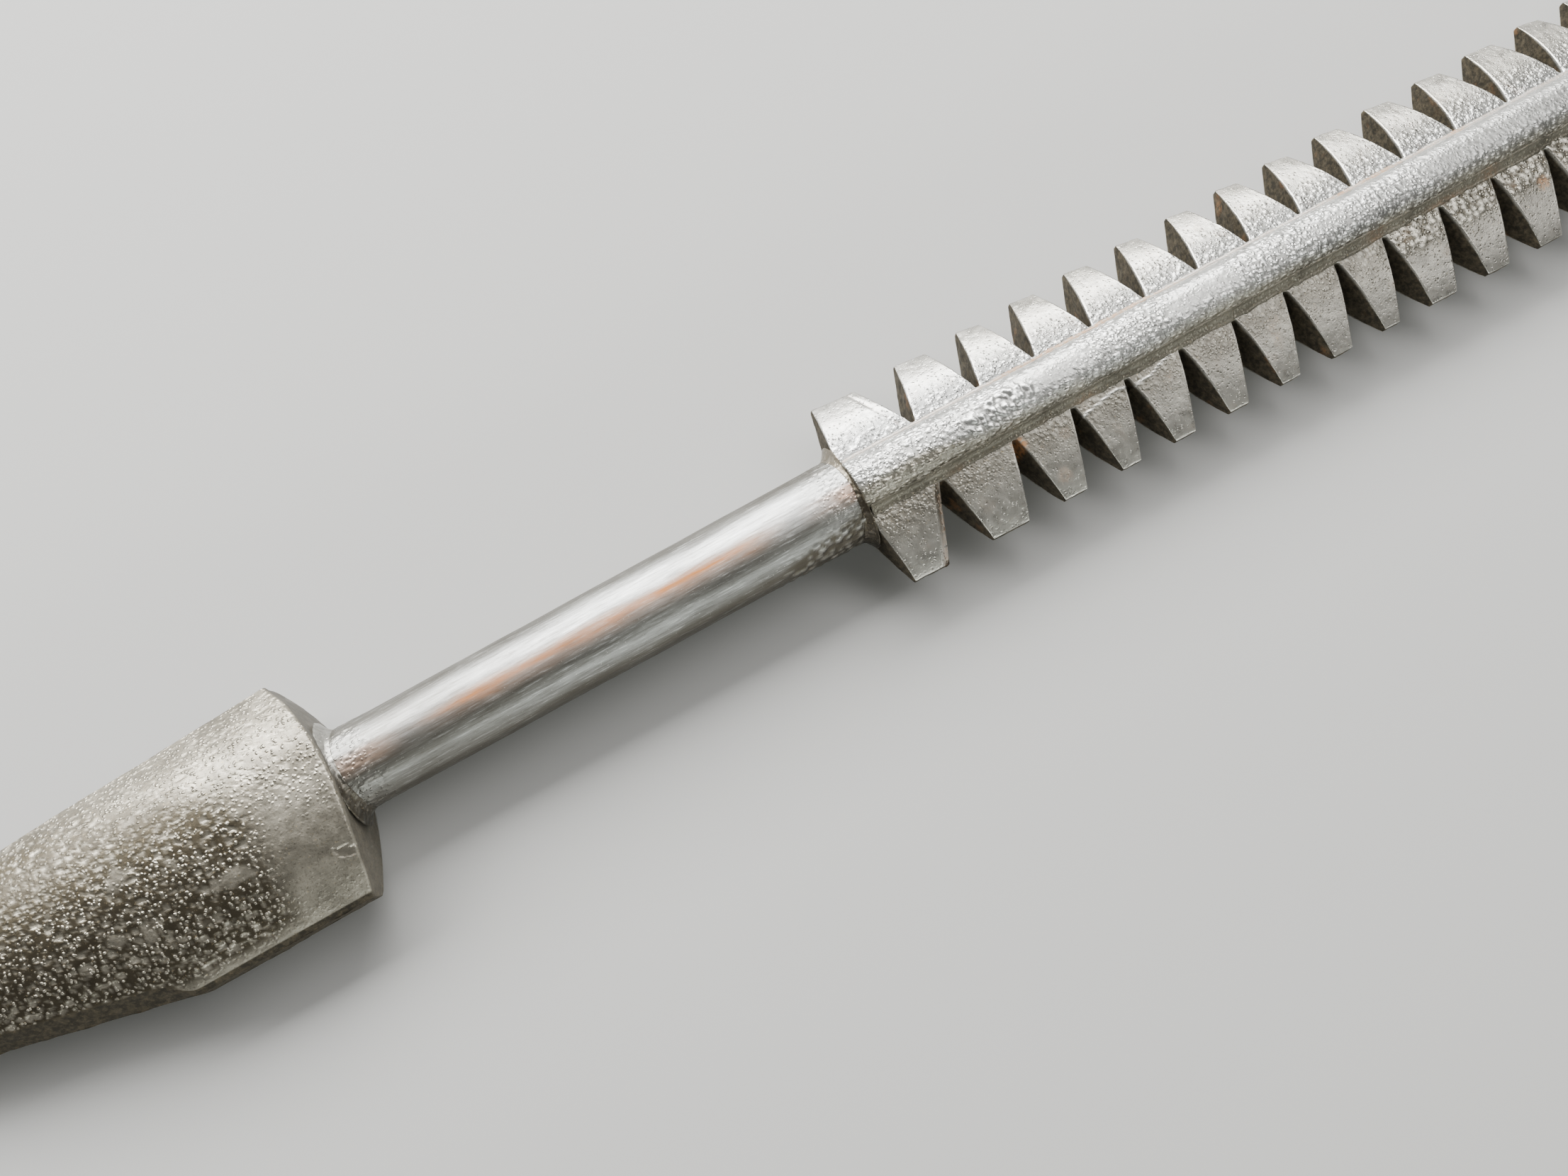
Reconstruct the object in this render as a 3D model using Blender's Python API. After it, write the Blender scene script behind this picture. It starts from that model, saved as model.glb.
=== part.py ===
"""Double-sided toothed bar: a blunt blade-shaped head, a round neck and a two-row rack.

Every piece is a separate closed solid. Lengths are written in millimetres times MM.
The pieces are modelled in bar coordinates: X runs along the bar from the head to the
far end, x = 0 is the rack's near shoulder, +Y is the left side and +Z is up, with the
neck's axis on y = z = 0. The empty "bar_frame" then moves the bar so that the origin
is the middle of the bottom of its bounding box, on the surface that the bar lies on.
"""
import math

import bmesh
import bpy
from mathutils import Vector

MM = 0.001

# Joint clearance left between pieces that touch.
GAP = 0.3 * MM

# Neck: a round bar that tapers slightly towards the head, with a tenon at each end.
NECK_LENGTH = 121.3 * MM
NECK_RADIUS_AT_RACK = 10.0 * MM
NECK_RADIUS_AT_HEAD = 9.1 * MM
HEAD_TENON_RADIUS = 6.0 * MM
HEAD_TENON_LENGTH = 25.0 * MM
SPINE_TENON_RADIUS = 3.5 * MM
SPINE_TENON_LENGTH = 22.0 * MM
ROUND_SEGMENTS = 48

# Spine bar: tall bar with a half-round top and bottom; the bottom has a narrow flat.
SPINE_HALF_WIDTH = 5.8 * MM
SPINE_TOP = 12.0 * MM
SPINE_FLAT_HALF_WIDTH = 2.0 * MM
SPINE_ARC_STEPS = 10

# Rack strips: wedge-shaped wings with V notches sawn through them.
TOOTH_COUNT = 16
PITCH = 15.4 * MM
FIRST_NOTCH = 19.2 * MM
LAST_TOOTH_ROOT = 21.0 * MM
SPACING_WAVE = 1.5 * MM
SPACING_WAVE_PERIOD = 12.0
SPACING_WAVE_PHASE = 2.3
NOTCH_FLOOR_HALF = 0.5 * MM
WING_ROOT_HALF = 7.0 * MM
WING_TIP_HALF = 0.7 * MM
WING_CROWN = 1.75
WING_ROWS = 7
SHOULDER_SWEEP = 2.9 * MM
LEFT_ROW = {
    "side": 1.0,
    "tip": 21.9 * MM,
    "spread": 0.012,
    "floor": 6.9 * MM,
    "lead": 5.0 * MM,
    "trail": 4.0 * MM,
    "first_trail": 6.1 * MM,
    "tip_slant": 0.9 * MM,
    "sawn_off": {1: 0.9 * MM, 12: 1.0 * MM},
}
RIGHT_ROW = {
    "side": -1.0,
    "tip": 23.4 * MM,
    "spread": 0.020,
    "floor": 7.7 * MM,
    "lead": 4.9 * MM,
    "trail": 4.7 * MM,
    "first_trail": 6.6 * MM,
    "tip_slant": 0.0 * MM,
    "sawn_off": {0: -1.6 * MM, 1: 1.2 * MM, 2: 0.9 * MM, 8: -1.2 * MM},
}

# Head: tapered blade with a softly ridged lens section and a swept shoulder.
HEAD_LENGTH = 111.0 * MM
HEAD_LEFT_SWEEP = 6.5 * MM
HEAD_LEFT_SWEEP_POWER = 2.45
HEAD_RIGHT_SWEEP = 4.6 * MM
HEAD_RIGHT_SWEEP_POWER = 1.5
HEAD_LEFT = 23.85 * MM
HEAD_LEFT_TAPER = 0.335
HEAD_RIGHT = 25.8 * MM
HEAD_RIGHT_TAPER = 1.03
HEAD_KNEE = 0.35
HEAD_NOSE_ROUND = 1.25
HEAD_HALF_THICKNESS = 11.6 * MM
HEAD_EDGE_HALF = 3.0 * MM
HEAD_CREST = 2.0 * MM
HEAD_CROWN = 1.7
HEAD_STATIONS = 18
HEAD_COLUMNS = 18
NOSE_CUT = 0.985

# Welds: ring fillets round both ends of the neck and thin runs along the spine.
RING_WELD_LEG = 2.2 * MM
SHOULDER_RING_RADIUS = 11.3 * MM
HEAD_RING_RADIUS = 10.9 * MM
RING_WELD_STEPS = 4
SEAM_WELD_LEG = 0.9 * MM
SEAM_WELD_INSET = 1.5 * MM


def spine_arc_centre():
    """Height of the centres of the spine's half-rounds."""
    return SPINE_TOP - SPINE_HALF_WIDTH


def rest_depth():
    """Depth of the spine's bottom flat below the neck's axis."""
    half_chord = SPINE_FLAT_HALF_WIDTH
    return spine_arc_centre() + math.sqrt(SPINE_HALF_WIDTH ** 2 - half_chord ** 2)


def marked_x(index):
    """Where a notch was marked; the hand-marked spacing drifts in a slow wave."""
    phase = 2.0 * math.pi * (index - SPACING_WAVE_PHASE) / SPACING_WAVE_PERIOD
    return FIRST_NOTCH + index * PITCH + SPACING_WAVE * math.cos(phase)


def notch_x(row, index):
    """Middle of a notch's floor; a few notches were sawn a little off their marks."""
    return marked_x(index) + row["sawn_off"].get(index, 0.0)


def rack_length():
    """Distance from the rack's near shoulder to its far end."""
    return marked_x(TOOTH_COUNT - 2) + LAST_TOOTH_ROOT


def tip_reach(row, x):
    """Distance from the axis to a row's tooth tips at x."""
    return row["tip"] + row["spread"] * x


def wing_half_thickness(y, tip):
    """Half thickness of a wing at distance y from the axis."""
    share = (y - SPINE_HALF_WIDTH) / (tip - SPINE_HALF_WIDTH)
    share = min(max(share, 0.0), 1.0)
    return WING_TIP_HALF + (WING_ROOT_HALF - WING_TIP_HALF) * (1.0 - share ** WING_CROWN)


def remove_scene_objects():
    for item in list(bpy.data.objects):
        bpy.data.objects.remove(item, do_unlink=True)


def make_material(name, colour, roughness, metallic):
    material = bpy.data.materials.new(name)
    material.use_nodes = True
    shader = material.node_tree.nodes["Principled BSDF"]
    shader.inputs["Base Color"].default_value = (*colour, 1.0)
    shader.inputs["Roughness"].default_value = roughness
    shader.inputs["Metallic"].default_value = metallic
    return material


def add_object(name, mesh, material, frame):
    """Link a mesh as a named object that hangs from the bar's frame."""
    item = bpy.data.objects.new(name, mesh)
    bpy.context.scene.collection.objects.link(item)
    item.parent = frame
    mesh.materials.append(material)
    return item


def mesh_from(name, vertices, faces):
    """Make a mesh with its faces turned outwards."""
    mesh = bpy.data.meshes.new(name)
    work = bmesh.new()
    points = [work.verts.new(point) for point in vertices]
    for face in faces:
        work.faces.new([points[index] for index in face])
    bmesh.ops.recalc_face_normals(work, faces=work.faces)
    work.to_mesh(mesh)
    work.free()
    return mesh


def smooth(mesh, angle=math.radians(35.0)):
    mesh.shade_smooth()
    mesh.set_sharp_from_angle(angle=angle)


def turned_mesh(name, profile, closed):
    """Spin (x, radius) points about the X axis. A closed profile makes a ring."""
    work = bmesh.new()
    verts = [work.verts.new((x, 0.0, radius)) for x, radius in profile]
    edges = [work.edges.new(pair) for pair in zip(verts, verts[1:])]
    if closed:
        edges.append(work.edges.new((verts[-1], verts[0])))
    bmesh.ops.spin(
        work,
        geom=verts + edges,
        cent=(0.0, 0.0, 0.0),
        axis=(1.0, 0.0, 0.0),
        angle=2.0 * math.pi,
        steps=ROUND_SEGMENTS,
        use_merge=True,
    )
    bmesh.ops.remove_doubles(work, verts=work.verts, dist=0.001 * MM)
    bmesh.ops.recalc_face_normals(work, faces=work.faces)
    mesh = bpy.data.meshes.new(name)
    work.to_mesh(mesh)
    work.free()
    smooth(mesh)
    return mesh


def extruded_mesh(name, outline, x_start, x_end):
    """Extrude a closed (y, z) outline along X."""
    count = len(outline)
    vertices = [(x, y, z) for x in (x_start, x_end) for y, z in outline]
    faces = [tuple(range(count)), tuple(range(2 * count - 1, count - 1, -1))]
    for index in range(count):
        following = (index + 1) % count
        faces.append((index, following, count + following, count + index))
    return mesh_from(name, vertices, faces)


def bore(item, radius, x_start, x_end, frame):
    """Cut a round socket along the bar's axis."""
    cutter_mesh = turned_mesh(
        item.name + "_cutter",
        [(x_start, 0.0), (x_start, radius), (x_end, radius), (x_end, 0.0)],
        closed=False,
    )
    cutter = bpy.data.objects.new(item.name + "_cutter", cutter_mesh)
    bpy.context.scene.collection.objects.link(cutter)
    cutter.parent = frame
    cutter.hide_render = True
    cutter.display_type = "WIRE"
    cut = item.modifiers.new("socket", "BOOLEAN")
    cut.operation = "DIFFERENCE"
    cut.solver = "EXACT"
    cut.object = cutter


def build_neck(frame, material):
    """Tapered round bar with one tenon for the head and one for the spine."""
    head_end = -NECK_LENGTH
    profile = [
        (head_end - HEAD_TENON_LENGTH, 0.0),
        (head_end - HEAD_TENON_LENGTH, HEAD_TENON_RADIUS),
        (head_end, HEAD_TENON_RADIUS),
        (head_end, NECK_RADIUS_AT_HEAD),
        (-GAP, NECK_RADIUS_AT_RACK),
        (-GAP, SPINE_TENON_RADIUS),
        (SPINE_TENON_LENGTH, SPINE_TENON_RADIUS),
        (SPINE_TENON_LENGTH, 0.0),
    ]
    add_object("neck_rod", turned_mesh("neck_rod", profile, closed=False), material, frame)


def spine_outline():
    """Half-round top, straight sides, half-round bottom cut by a narrow flat."""
    centre = spine_arc_centre()
    top = [
        (
            SPINE_HALF_WIDTH * math.cos(math.pi * step / SPINE_ARC_STEPS),
            centre + SPINE_HALF_WIDTH * math.sin(math.pi * step / SPINE_ARC_STEPS),
        )
        for step in range(SPINE_ARC_STEPS + 1)
    ]
    flat_angle = math.acos(SPINE_FLAT_HALF_WIDTH / SPINE_HALF_WIDTH)
    side_steps = SPINE_ARC_STEPS // 2 - 1
    left_bottom = [
        (
            -SPINE_HALF_WIDTH * math.cos(flat_angle * step / side_steps),
            -centre - SPINE_HALF_WIDTH * math.sin(flat_angle * step / side_steps),
        )
        for step in range(side_steps + 1)
    ]
    right_bottom = [(-y, z) for y, z in reversed(left_bottom)]
    return top + left_bottom + right_bottom


def build_spine(frame, material):
    mesh = extruded_mesh("spine_bar", spine_outline(), 0.0, rack_length())
    smooth(mesh)
    spine = add_object("spine_bar", mesh, material, frame)
    bore(spine, SPINE_TENON_RADIUS + GAP, -2.0 * MM, SPINE_TENON_LENGTH + GAP, frame)


def tooth_edges(row, index):
    """Root and tip ends of one tooth as two (x at root, x at tip) lines."""
    length = rack_length()
    if index == 0:
        lead = (0.0, SHOULDER_SWEEP)
    else:
        centre = notch_x(row, index - 1)
        lead = (centre + NOTCH_FLOOR_HALF, centre + row["lead"])
    if index == TOOTH_COUNT - 1:
        trail = (length, length - SHOULDER_SWEEP)
    else:
        centre = notch_x(row, index)
        run = row["first_trail"] if index == 0 else row["trail"]
        trail = (centre - NOTCH_FLOOR_HALF, centre - run)
    return lead, trail


def build_strip(name, row, frame, material):
    """One wing: a narrow ledge along the spine with tapered teeth standing on it."""
    vertices = []
    faces = []
    side = row["side"]
    inner = SPINE_HALF_WIDTH + GAP

    def pair(x, y, tip):
        """Add the upper and lower vertex at plan position (x, y)."""
        half = wing_half_thickness(y, tip)
        vertices.append((x, side * y, half))
        vertices.append((x, side * y, -half))
        return len(vertices) - 2

    def slab(a, b, c, d):
        """Upper and lower face over the plan quad a, b, c, d."""
        faces.append((a, b, c, d))
        faces.append((d + 1, c + 1, b + 1, a + 1))

    def wall(a, b):
        """Upright face below the plan edge a, b."""
        faces.append((a, b, b + 1, a + 1))

    previous = None
    for index in range(TOOTH_COUNT):
        lead, trail = tooth_edges(row, index)
        tip_lead = tip_reach(row, lead[1])
        tip_trail = tip_reach(row, trail[1]) - row["tip_slant"]
        near = (pair(lead[0], inner, tip_lead), pair(lead[0], row["floor"], tip_lead))
        far = (pair(trail[0], inner, tip_trail), pair(trail[0], row["floor"], tip_trail))
        if previous is None:
            wall(near[0], near[1])
        else:
            slab(previous[0], near[0], near[1], previous[1])
            wall(previous[1], near[1])
            wall(previous[0], near[0])
        slab(near[0], far[0], far[1], near[1])
        wall(near[0], far[0])
        lower = (near[1], far[1])
        for step in range(1, WING_ROWS + 1):
            share = step / WING_ROWS
            y_lead = row["floor"] + (tip_lead - row["floor"]) * share
            y_trail = row["floor"] + (tip_trail - row["floor"]) * share
            x_lead = lead[0] + (lead[1] - lead[0]) * share
            x_trail = trail[0] + (trail[1] - trail[0]) * share
            upper = (pair(x_lead, y_lead, tip_lead), pair(x_trail, y_trail, tip_trail))
            slab(lower[0], lower[1], upper[1], upper[0])
            wall(lower[0], upper[0])
            wall(lower[1], upper[1])
            lower = upper
        wall(lower[0], lower[1])
        previous = far
    wall(previous[0], previous[1])
    mesh = mesh_from(name, vertices, faces)
    smooth(mesh, math.radians(20.0))
    add_object(name, mesh, material, frame)


def head_section(share):
    """Left reach, right reach, crest height and edge half thickness at one station."""
    nose = HEAD_NOSE_ROUND * math.sqrt(1.0 - share ** 2)
    left = HEAD_LEFT * min(1.0 - HEAD_LEFT_TAPER * share, nose)
    right = HEAD_RIGHT * min(1.0, 1.0 - HEAD_RIGHT_TAPER * (share - HEAD_KNEE), nose)
    crest = HEAD_HALF_THICKNESS * (1.0 - share ** 2.4) ** 0.6
    edge = HEAD_EDGE_HALF * (1.0 - share ** 3) ** 0.5
    return left, right, crest, min(edge, crest)


def head_half_thickness(y, left, right, crest, edge):
    middle = min(HEAD_CREST, 0.5 * left)
    if y > middle:
        share = (y - middle) / (left - middle)
    else:
        share = (middle - y) / (right + middle)
    return edge + (crest - edge) * (1.0 - min(share, 1.0) ** HEAD_CROWN)


def head_sweep(across, share):
    """How far the shoulder is swept back, fading to nothing at the nose."""
    if across > 0.0:
        sweep = HEAD_LEFT_SWEEP * across ** HEAD_LEFT_SWEEP_POWER
    else:
        sweep = HEAD_RIGHT_SWEEP * (-across) ** HEAD_RIGHT_SWEEP_POWER
    return sweep * (1.0 - share / NOSE_CUT)


def build_head(frame, material):
    """Loft lens sections from the swept shoulder to the rounded nose."""
    vertices = []
    faces = []
    face_x = -NECK_LENGTH - GAP
    ring = 2 * (HEAD_COLUMNS + 1)
    for station in range(HEAD_STATIONS + 1):
        share = NOSE_CUT * math.sin(0.5 * math.pi * station / HEAD_STATIONS)
        left, right, crest, edge = head_section(share)
        top = []
        for column in range(HEAD_COLUMNS + 1):
            across = -math.cos(math.pi * column / HEAD_COLUMNS)
            y = 0.5 * (left - right) + 0.5 * (left + right) * across
            x = face_x - head_sweep(across, share) - HEAD_LENGTH * share
            top.append((x, y, head_half_thickness(y, left, right, crest, edge)))
        vertices.extend(top)
        vertices.extend((x, y, -z) for x, y, z in reversed(top))
    for station in range(HEAD_STATIONS):
        first = station * ring
        for index in range(ring):
            following = (index + 1) % ring
            faces.append((first + index, first + following, first + ring + following, first + ring + index))
    for first in (0, HEAD_STATIONS * ring):
        for column in range(HEAD_COLUMNS):
            opposite = first + ring - 1 - column
            faces.append((first + column, first + column + 1, opposite - 1, opposite))
    mesh = mesh_from("head", vertices, faces)
    smooth(mesh, math.radians(30.0))
    head = add_object("head", mesh, material, frame)
    bottom = face_x - HEAD_TENON_LENGTH - GAP
    bore(head, HEAD_TENON_RADIUS + GAP, bottom, face_x + 5.0 * MM, frame)


def build_ring_weld(name, face_x, direction, inner, outer, frame, material):
    """Concave fillet ring that closes the corner between the neck and a shoulder."""
    profile = [(face_x, inner)]
    for step in range(RING_WELD_STEPS + 1):
        share = step / RING_WELD_STEPS
        reach = RING_WELD_LEG * share
        radius = inner + (outer - inner) * (1.0 - share) ** 2 + 0.25 * MM
        profile.append((face_x + direction * reach, radius))
    profile.append((face_x + direction * RING_WELD_LEG, inner))
    add_object(name, turned_mesh(name, profile, closed=True), material, frame)


def build_seam_weld(name, side, height_sign, frame, material):
    """Thin three-sided bead in the corner between the spine and a wing."""
    base = WING_ROOT_HALF + GAP
    climb = base + 1.2 * SEAM_WELD_LEG
    rise = climb - spine_arc_centre()
    flank = math.sqrt(SPINE_HALF_WIDTH ** 2 - rise ** 2) + GAP
    inner = SPINE_HALF_WIDTH + GAP
    outline = [
        (side * inner, height_sign * base),
        (side * (inner + SEAM_WELD_LEG), height_sign * base),
        (side * flank, height_sign * climb),
    ]
    mesh = extruded_mesh(name, outline, SEAM_WELD_INSET, rack_length() - SEAM_WELD_INSET)
    add_object(name, mesh, material, frame)


def build_welds(frame, material):
    build_ring_weld(
        "shoulder_weld",
        -2.0 * GAP,
        -1.0,
        NECK_RADIUS_AT_RACK + GAP,
        SHOULDER_RING_RADIUS,
        frame,
        material,
    )
    build_ring_weld(
        "head_weld",
        -NECK_LENGTH + GAP,
        1.0,
        NECK_RADIUS_AT_HEAD + 2.0 * GAP,
        HEAD_RING_RADIUS,
        frame,
        material,
    )
    for side_name, side in (("left", 1.0), ("right", -1.0)):
        for level_name, level in (("top", 1.0), ("bottom", -1.0)):
            name = "seam_weld_" + side_name + "_" + level_name
            build_seam_weld(name, side, level, frame, material)


def frame_location():
    """Put the origin at the middle of the bottom of the whole bar's box."""
    length = rack_length()
    low_x = -NECK_LENGTH - GAP - NOSE_CUT * HEAD_LENGTH
    left = tip_reach(LEFT_ROW, length - SHOULDER_SWEEP)
    trail_left = left - LEFT_ROW["tip_slant"]
    last_lead = notch_x(LEFT_ROW, TOOTH_COUNT - 2) + LEFT_ROW["lead"]
    high_y = max(trail_left, tip_reach(LEFT_ROW, last_lead))
    low_y = -tip_reach(RIGHT_ROW, length - SHOULDER_SWEEP)
    return Vector((-0.5 * (low_x + length), -0.5 * (low_y + high_y), rest_depth()))


def build():
    remove_scene_objects()
    frame = bpy.data.objects.new("bar_frame", None)
    bpy.context.scene.collection.objects.link(frame)
    frame.location = frame_location()

    head_metal = make_material("head_metal", (0.30, 0.29, 0.27), 0.42, 0.85)
    neck_metal = make_material("neck_metal", (0.36, 0.36, 0.35), 0.30, 0.95)
    spine_metal = make_material("spine_metal", (0.34, 0.34, 0.34), 0.33, 0.90)
    rack_metal = make_material("rack_metal", (0.38, 0.38, 0.37), 0.38, 0.90)
    weld_metal = make_material("weld_metal", (0.20, 0.18, 0.16), 0.50, 0.80)

    build_head(frame, head_metal)
    build_neck(frame, neck_metal)
    build_spine(frame, spine_metal)
    build_strip("rack_strip_left", LEFT_ROW, frame, rack_metal)
    build_strip("rack_strip_right", RIGHT_ROW, frame, rack_metal)
    build_welds(frame, weld_metal)


build()
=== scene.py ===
"""Looks of the toothed bar: dense, displaced meshes and procedural metal round the CAD frame.

Shapes are worked out in bar coordinates: X along the bar with x = 0 at the rack's near
shoulder, +Y to the left row of teeth, and the neck's axis on y = z = 0. The frame's
boxes say where that is. Lengths are written in millimetres times MM.

Every mesh stores six masks, one value from 0 to 1 for each vertex, and its material reads
them: bead is a raised drop or a pale mark, whose top is painted lighter as a painted
highlight, and it also carries a painted highlight along the strips' rounded edges and the
head's shoulder edge; wet is how many glossy spots a face has; gap is how dark the metal is
between its drops, and also painted shade along the neck's feet and on the head's facet;
flank is rough sawn metal, and on the head partly painted shade; shade is brown patina with
painted shade on the right side and underneath, and only painted shade on the left teeth's
tips and on the neck; and rust is rust.
"""
import itertools
import math

import bmesh
import bpy
import numpy as np
from mathutils import Matrix, Vector


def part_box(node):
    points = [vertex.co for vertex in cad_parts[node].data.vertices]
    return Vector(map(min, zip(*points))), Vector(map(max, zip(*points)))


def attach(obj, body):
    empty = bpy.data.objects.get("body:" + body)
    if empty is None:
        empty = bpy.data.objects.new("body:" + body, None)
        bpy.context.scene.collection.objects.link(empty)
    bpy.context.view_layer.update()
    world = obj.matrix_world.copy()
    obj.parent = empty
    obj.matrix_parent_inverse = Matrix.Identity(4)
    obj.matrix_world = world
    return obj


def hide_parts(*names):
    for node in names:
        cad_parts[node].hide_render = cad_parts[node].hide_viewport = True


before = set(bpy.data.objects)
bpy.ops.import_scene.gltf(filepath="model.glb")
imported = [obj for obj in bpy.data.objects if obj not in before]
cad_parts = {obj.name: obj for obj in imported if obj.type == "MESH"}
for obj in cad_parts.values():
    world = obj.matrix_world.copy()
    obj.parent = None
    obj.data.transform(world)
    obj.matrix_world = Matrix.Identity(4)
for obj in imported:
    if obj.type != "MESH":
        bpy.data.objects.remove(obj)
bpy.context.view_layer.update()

MM = 0.001

# Camera, in bar coordinates.
CAMERA_PLACE = Vector((-59.8, -57.4, 246.6)) * MM
CAMERA_TARGET = Vector((-22.9, -10.5, 0.0)) * MM
CAMERA_ROLL = math.radians(30.5)
CAMERA_LENS_MM = 26.73
CAMERA_SENSOR_MM = 36.0

# Driving sizes of the bar. Spine and head are a little fuller than in the CAD part.
NECK_RADIUS_AT_HEAD = 9.1 * MM
SPINE_FLAT_HALF = 2.0 * MM
SPINE_ROUNDING = 0.80
TOOTH_COUNT = 16
PITCH = 15.4 * MM
FIRST_NOTCH = 19.2 * MM
SPACING_WAVE = 1.5 * MM
SPACING_WAVE_PERIOD = 12.0
SPACING_WAVE_PHASE = 2.3
NOTCH_FLOOR_HALF = 0.5 * MM
WING_ROOT_HALF = 7.0 * MM
WING_TIP_HALF = 0.7 * MM
WING_CROWN = 1.75
SHOULDER_SWEEP = 2.9 * MM
LEFT_ROW = dict(
    side=1.0, tip=21.9 * MM, spread=0.012, floor=6.9 * MM, tip_slant=0.9 * MM,
    lead=5.0 * MM, trail=4.0 * MM, first_trail=6.1 * MM,
    sawn_off={1: 0.9 * MM, 12: 1.0 * MM},
    seam_leg=1.0 * MM, seed=7,
)
RIGHT_ROW = dict(
    side=-1.0, tip=23.4 * MM, spread=0.020, floor=7.7 * MM, tip_slant=0.0 * MM,
    lead=4.9 * MM, trail=4.7 * MM, first_trail=6.6 * MM,
    sawn_off={0: -1.6 * MM, 1: 1.2 * MM, 2: 0.9 * MM, 8: -1.2 * MM},
    seam_leg=2.0 * MM, seed=107,
)
HEAD_LEFT_SWEEP = 6.5 * MM
HEAD_LEFT_SWEEP_POWER = 2.45
HEAD_RIGHT_SWEEP = 4.6 * MM
HEAD_RIGHT_SWEEP_POWER = 1.5
HEAD_LEFT = 23.85 * MM
HEAD_LEFT_TAPER = 0.335
HEAD_RIGHT = 25.8 * MM
HEAD_RIGHT_TAPER = 1.03
HEAD_KNEE = 0.35
HEAD_NOSE_ROUND = 1.25
HEAD_HALF_THICKNESS = 11.6 * MM
HEAD_EDGE_HALF = 3.0 * MM
HEAD_CREST = 2.0 * MM
HEAD_CROWN = 2.1
NOSE_CUT = 0.985
WELD_DEPTH = 0.8 * MM
WELD_SKIN = 0.1 * MM
SEAM_SKIN = 0.05 * MM
SEAM_HOLLOW = 1.6

# Mesh densities.
CELLS_ALONG = 34
CELLS_ACROSS = 42
CELLS_UP = 14
CELLS_LEDGE = 3
CELLS_FLOOR = 3
STRIP_OVERLAP = 0.1 * MM
SPINE_STEP = 0.35 * MM
NECK_STEP = 0.48 * MM
NECK_AROUND = 136
NECK_OVERLAP = 1.0 * MM
HEAD_COLUMNS = 150
HEAD_STATIONS = 270
HEAD_WALL_LEVELS = 19
RING_AROUND = 170
RING_PROFILE = 12
SEAM_STATIONS = 700
SEAM_PROFILE = 8

# Patterns of raised drops: spacing, least and greatest radius, chance of a drop and stretch
# along the bar.
PIMPLES = (1.35 * MM, 0.35 * MM, 0.72 * MM, 0.75, 1.0)
CRACKLE = (1.6 * MM, 0.65 * MM, 0.98 * MM, 0.95, 1.2)
SPINE_BEADS = (1.15 * MM, 0.35 * MM, 0.62 * MM, 0.85, 1.5)
BLISTERS = (1.6 * MM, 0.60 * MM, 1.05 * MM, 1.0, 1.0)
NECK_LUMPS = (1.8 * MM, 0.5 * MM, 1.0 * MM, 0.85, 1.3)
NECK_BEADS = (1.2 * MM, 0.35 * MM, 0.65 * MM, 0.6, 1.4)
FINE_DROPS = (1.25 * MM, 0.30 * MM, 0.56 * MM, 0.75, 1.0)
COARSE_DROPS = (2.1 * MM, 0.45 * MM, 0.80 * MM, 0.4, 1.2)
WELD_BEADS = (1.2 * MM, 0.4 * MM, 0.75 * MM, 0.85, 1.0)

# Heights of the relief on each piece.
STRIP_RELIEF = dict(
    bead=0.13 * MM, scratch=0.07 * MM, swell=0.10 * MM, sawn=0.13 * MM, grain=0.02 * MM
)
SPINE_RELIEF = dict(bead=0.15 * MM, blister=0.62 * MM, swell=0.07 * MM, grain=0.02 * MM)
NECK_RELIEF = dict(ripple=0.05 * MM, swell=0.08 * MM, lump=0.34 * MM, bead=0.10 * MM)
HEAD_RELIEF = dict(bead=0.18 * MM, swell=0.16 * MM, grain=0.02 * MM, sawn=0.20 * MM)
WELD_RELIEF = dict(bead=0.10 * MM, swell=0.14 * MM)

# Marks on the rack, in bar coordinates.
SCRIBE_INSET = 2.2 * MM
SCRIBE_DEPTH = 0.38 * MM
SCRIBE_WIDTH = 0.3 * MM
BEVEL_DEPTH = 1.3 * MM
BEVEL_WIDTH = 1.9 * MM
SCRATCH_X = np.array([52.0, 58.0, 63.0, 68.0, 74.0, 81.5]) * MM
SCRATCH_Y = np.array([-10.9, -9.4, -8.7, -10.0, -9.2, -6.9]) * MM
SCRATCH_WIDTH = 0.22 * MM
SCRATCH_FADE = 2.0 * MM
CRACKLE_FROM = 136.0 * MM
CRACKLE_FULL = 144.0 * MM
CLUSTER_X = 36.0 * MM
CLUSTER_Y = -1.1 * MM
CLUSTER_STRETCH = 1.9
RUST_SPOTS = ((37.4 * MM, 9.4 * MM, 0.9), (183.5 * MM, 14.6 * MM, 0.5), (44.0 * MM, 19.5 * MM, 0.3))
TAN_PATCHES = (137.7 * MM, 171.7 * MM)
TAN_PATCH_HALF = 2.8 * MM

# Marks on the neck and the head, in bar coordinates. DARK_UPTO is the head's y up to which
# its face is brown and given painted shade, at the distances DARK_FROM from its shoulder.
STREAK_Y = -0.4 * MM
STREAK_HALF = 1.05 * MM
CHIP_X = -126.4 * MM
CHIP_Y = -15.5 * MM
CHIP_STRETCH = 1.8
DARK_FROM = np.array([8.0, 33.0, 63.0, 110.0]) * MM
DARK_UPTO = np.array([-5.0, 11.5, 18.0, 18.5]) * MM
FACET_DROP = 2.2 * MM
FACET_WIDTH = 3.2 * MM
FACET_NARROW = 1.0 * MM
FACET_START = 0.36
FACET_START_RUN = 0.05
FACET_END = 0.78
FACET_END_RUN = 0.08
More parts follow.
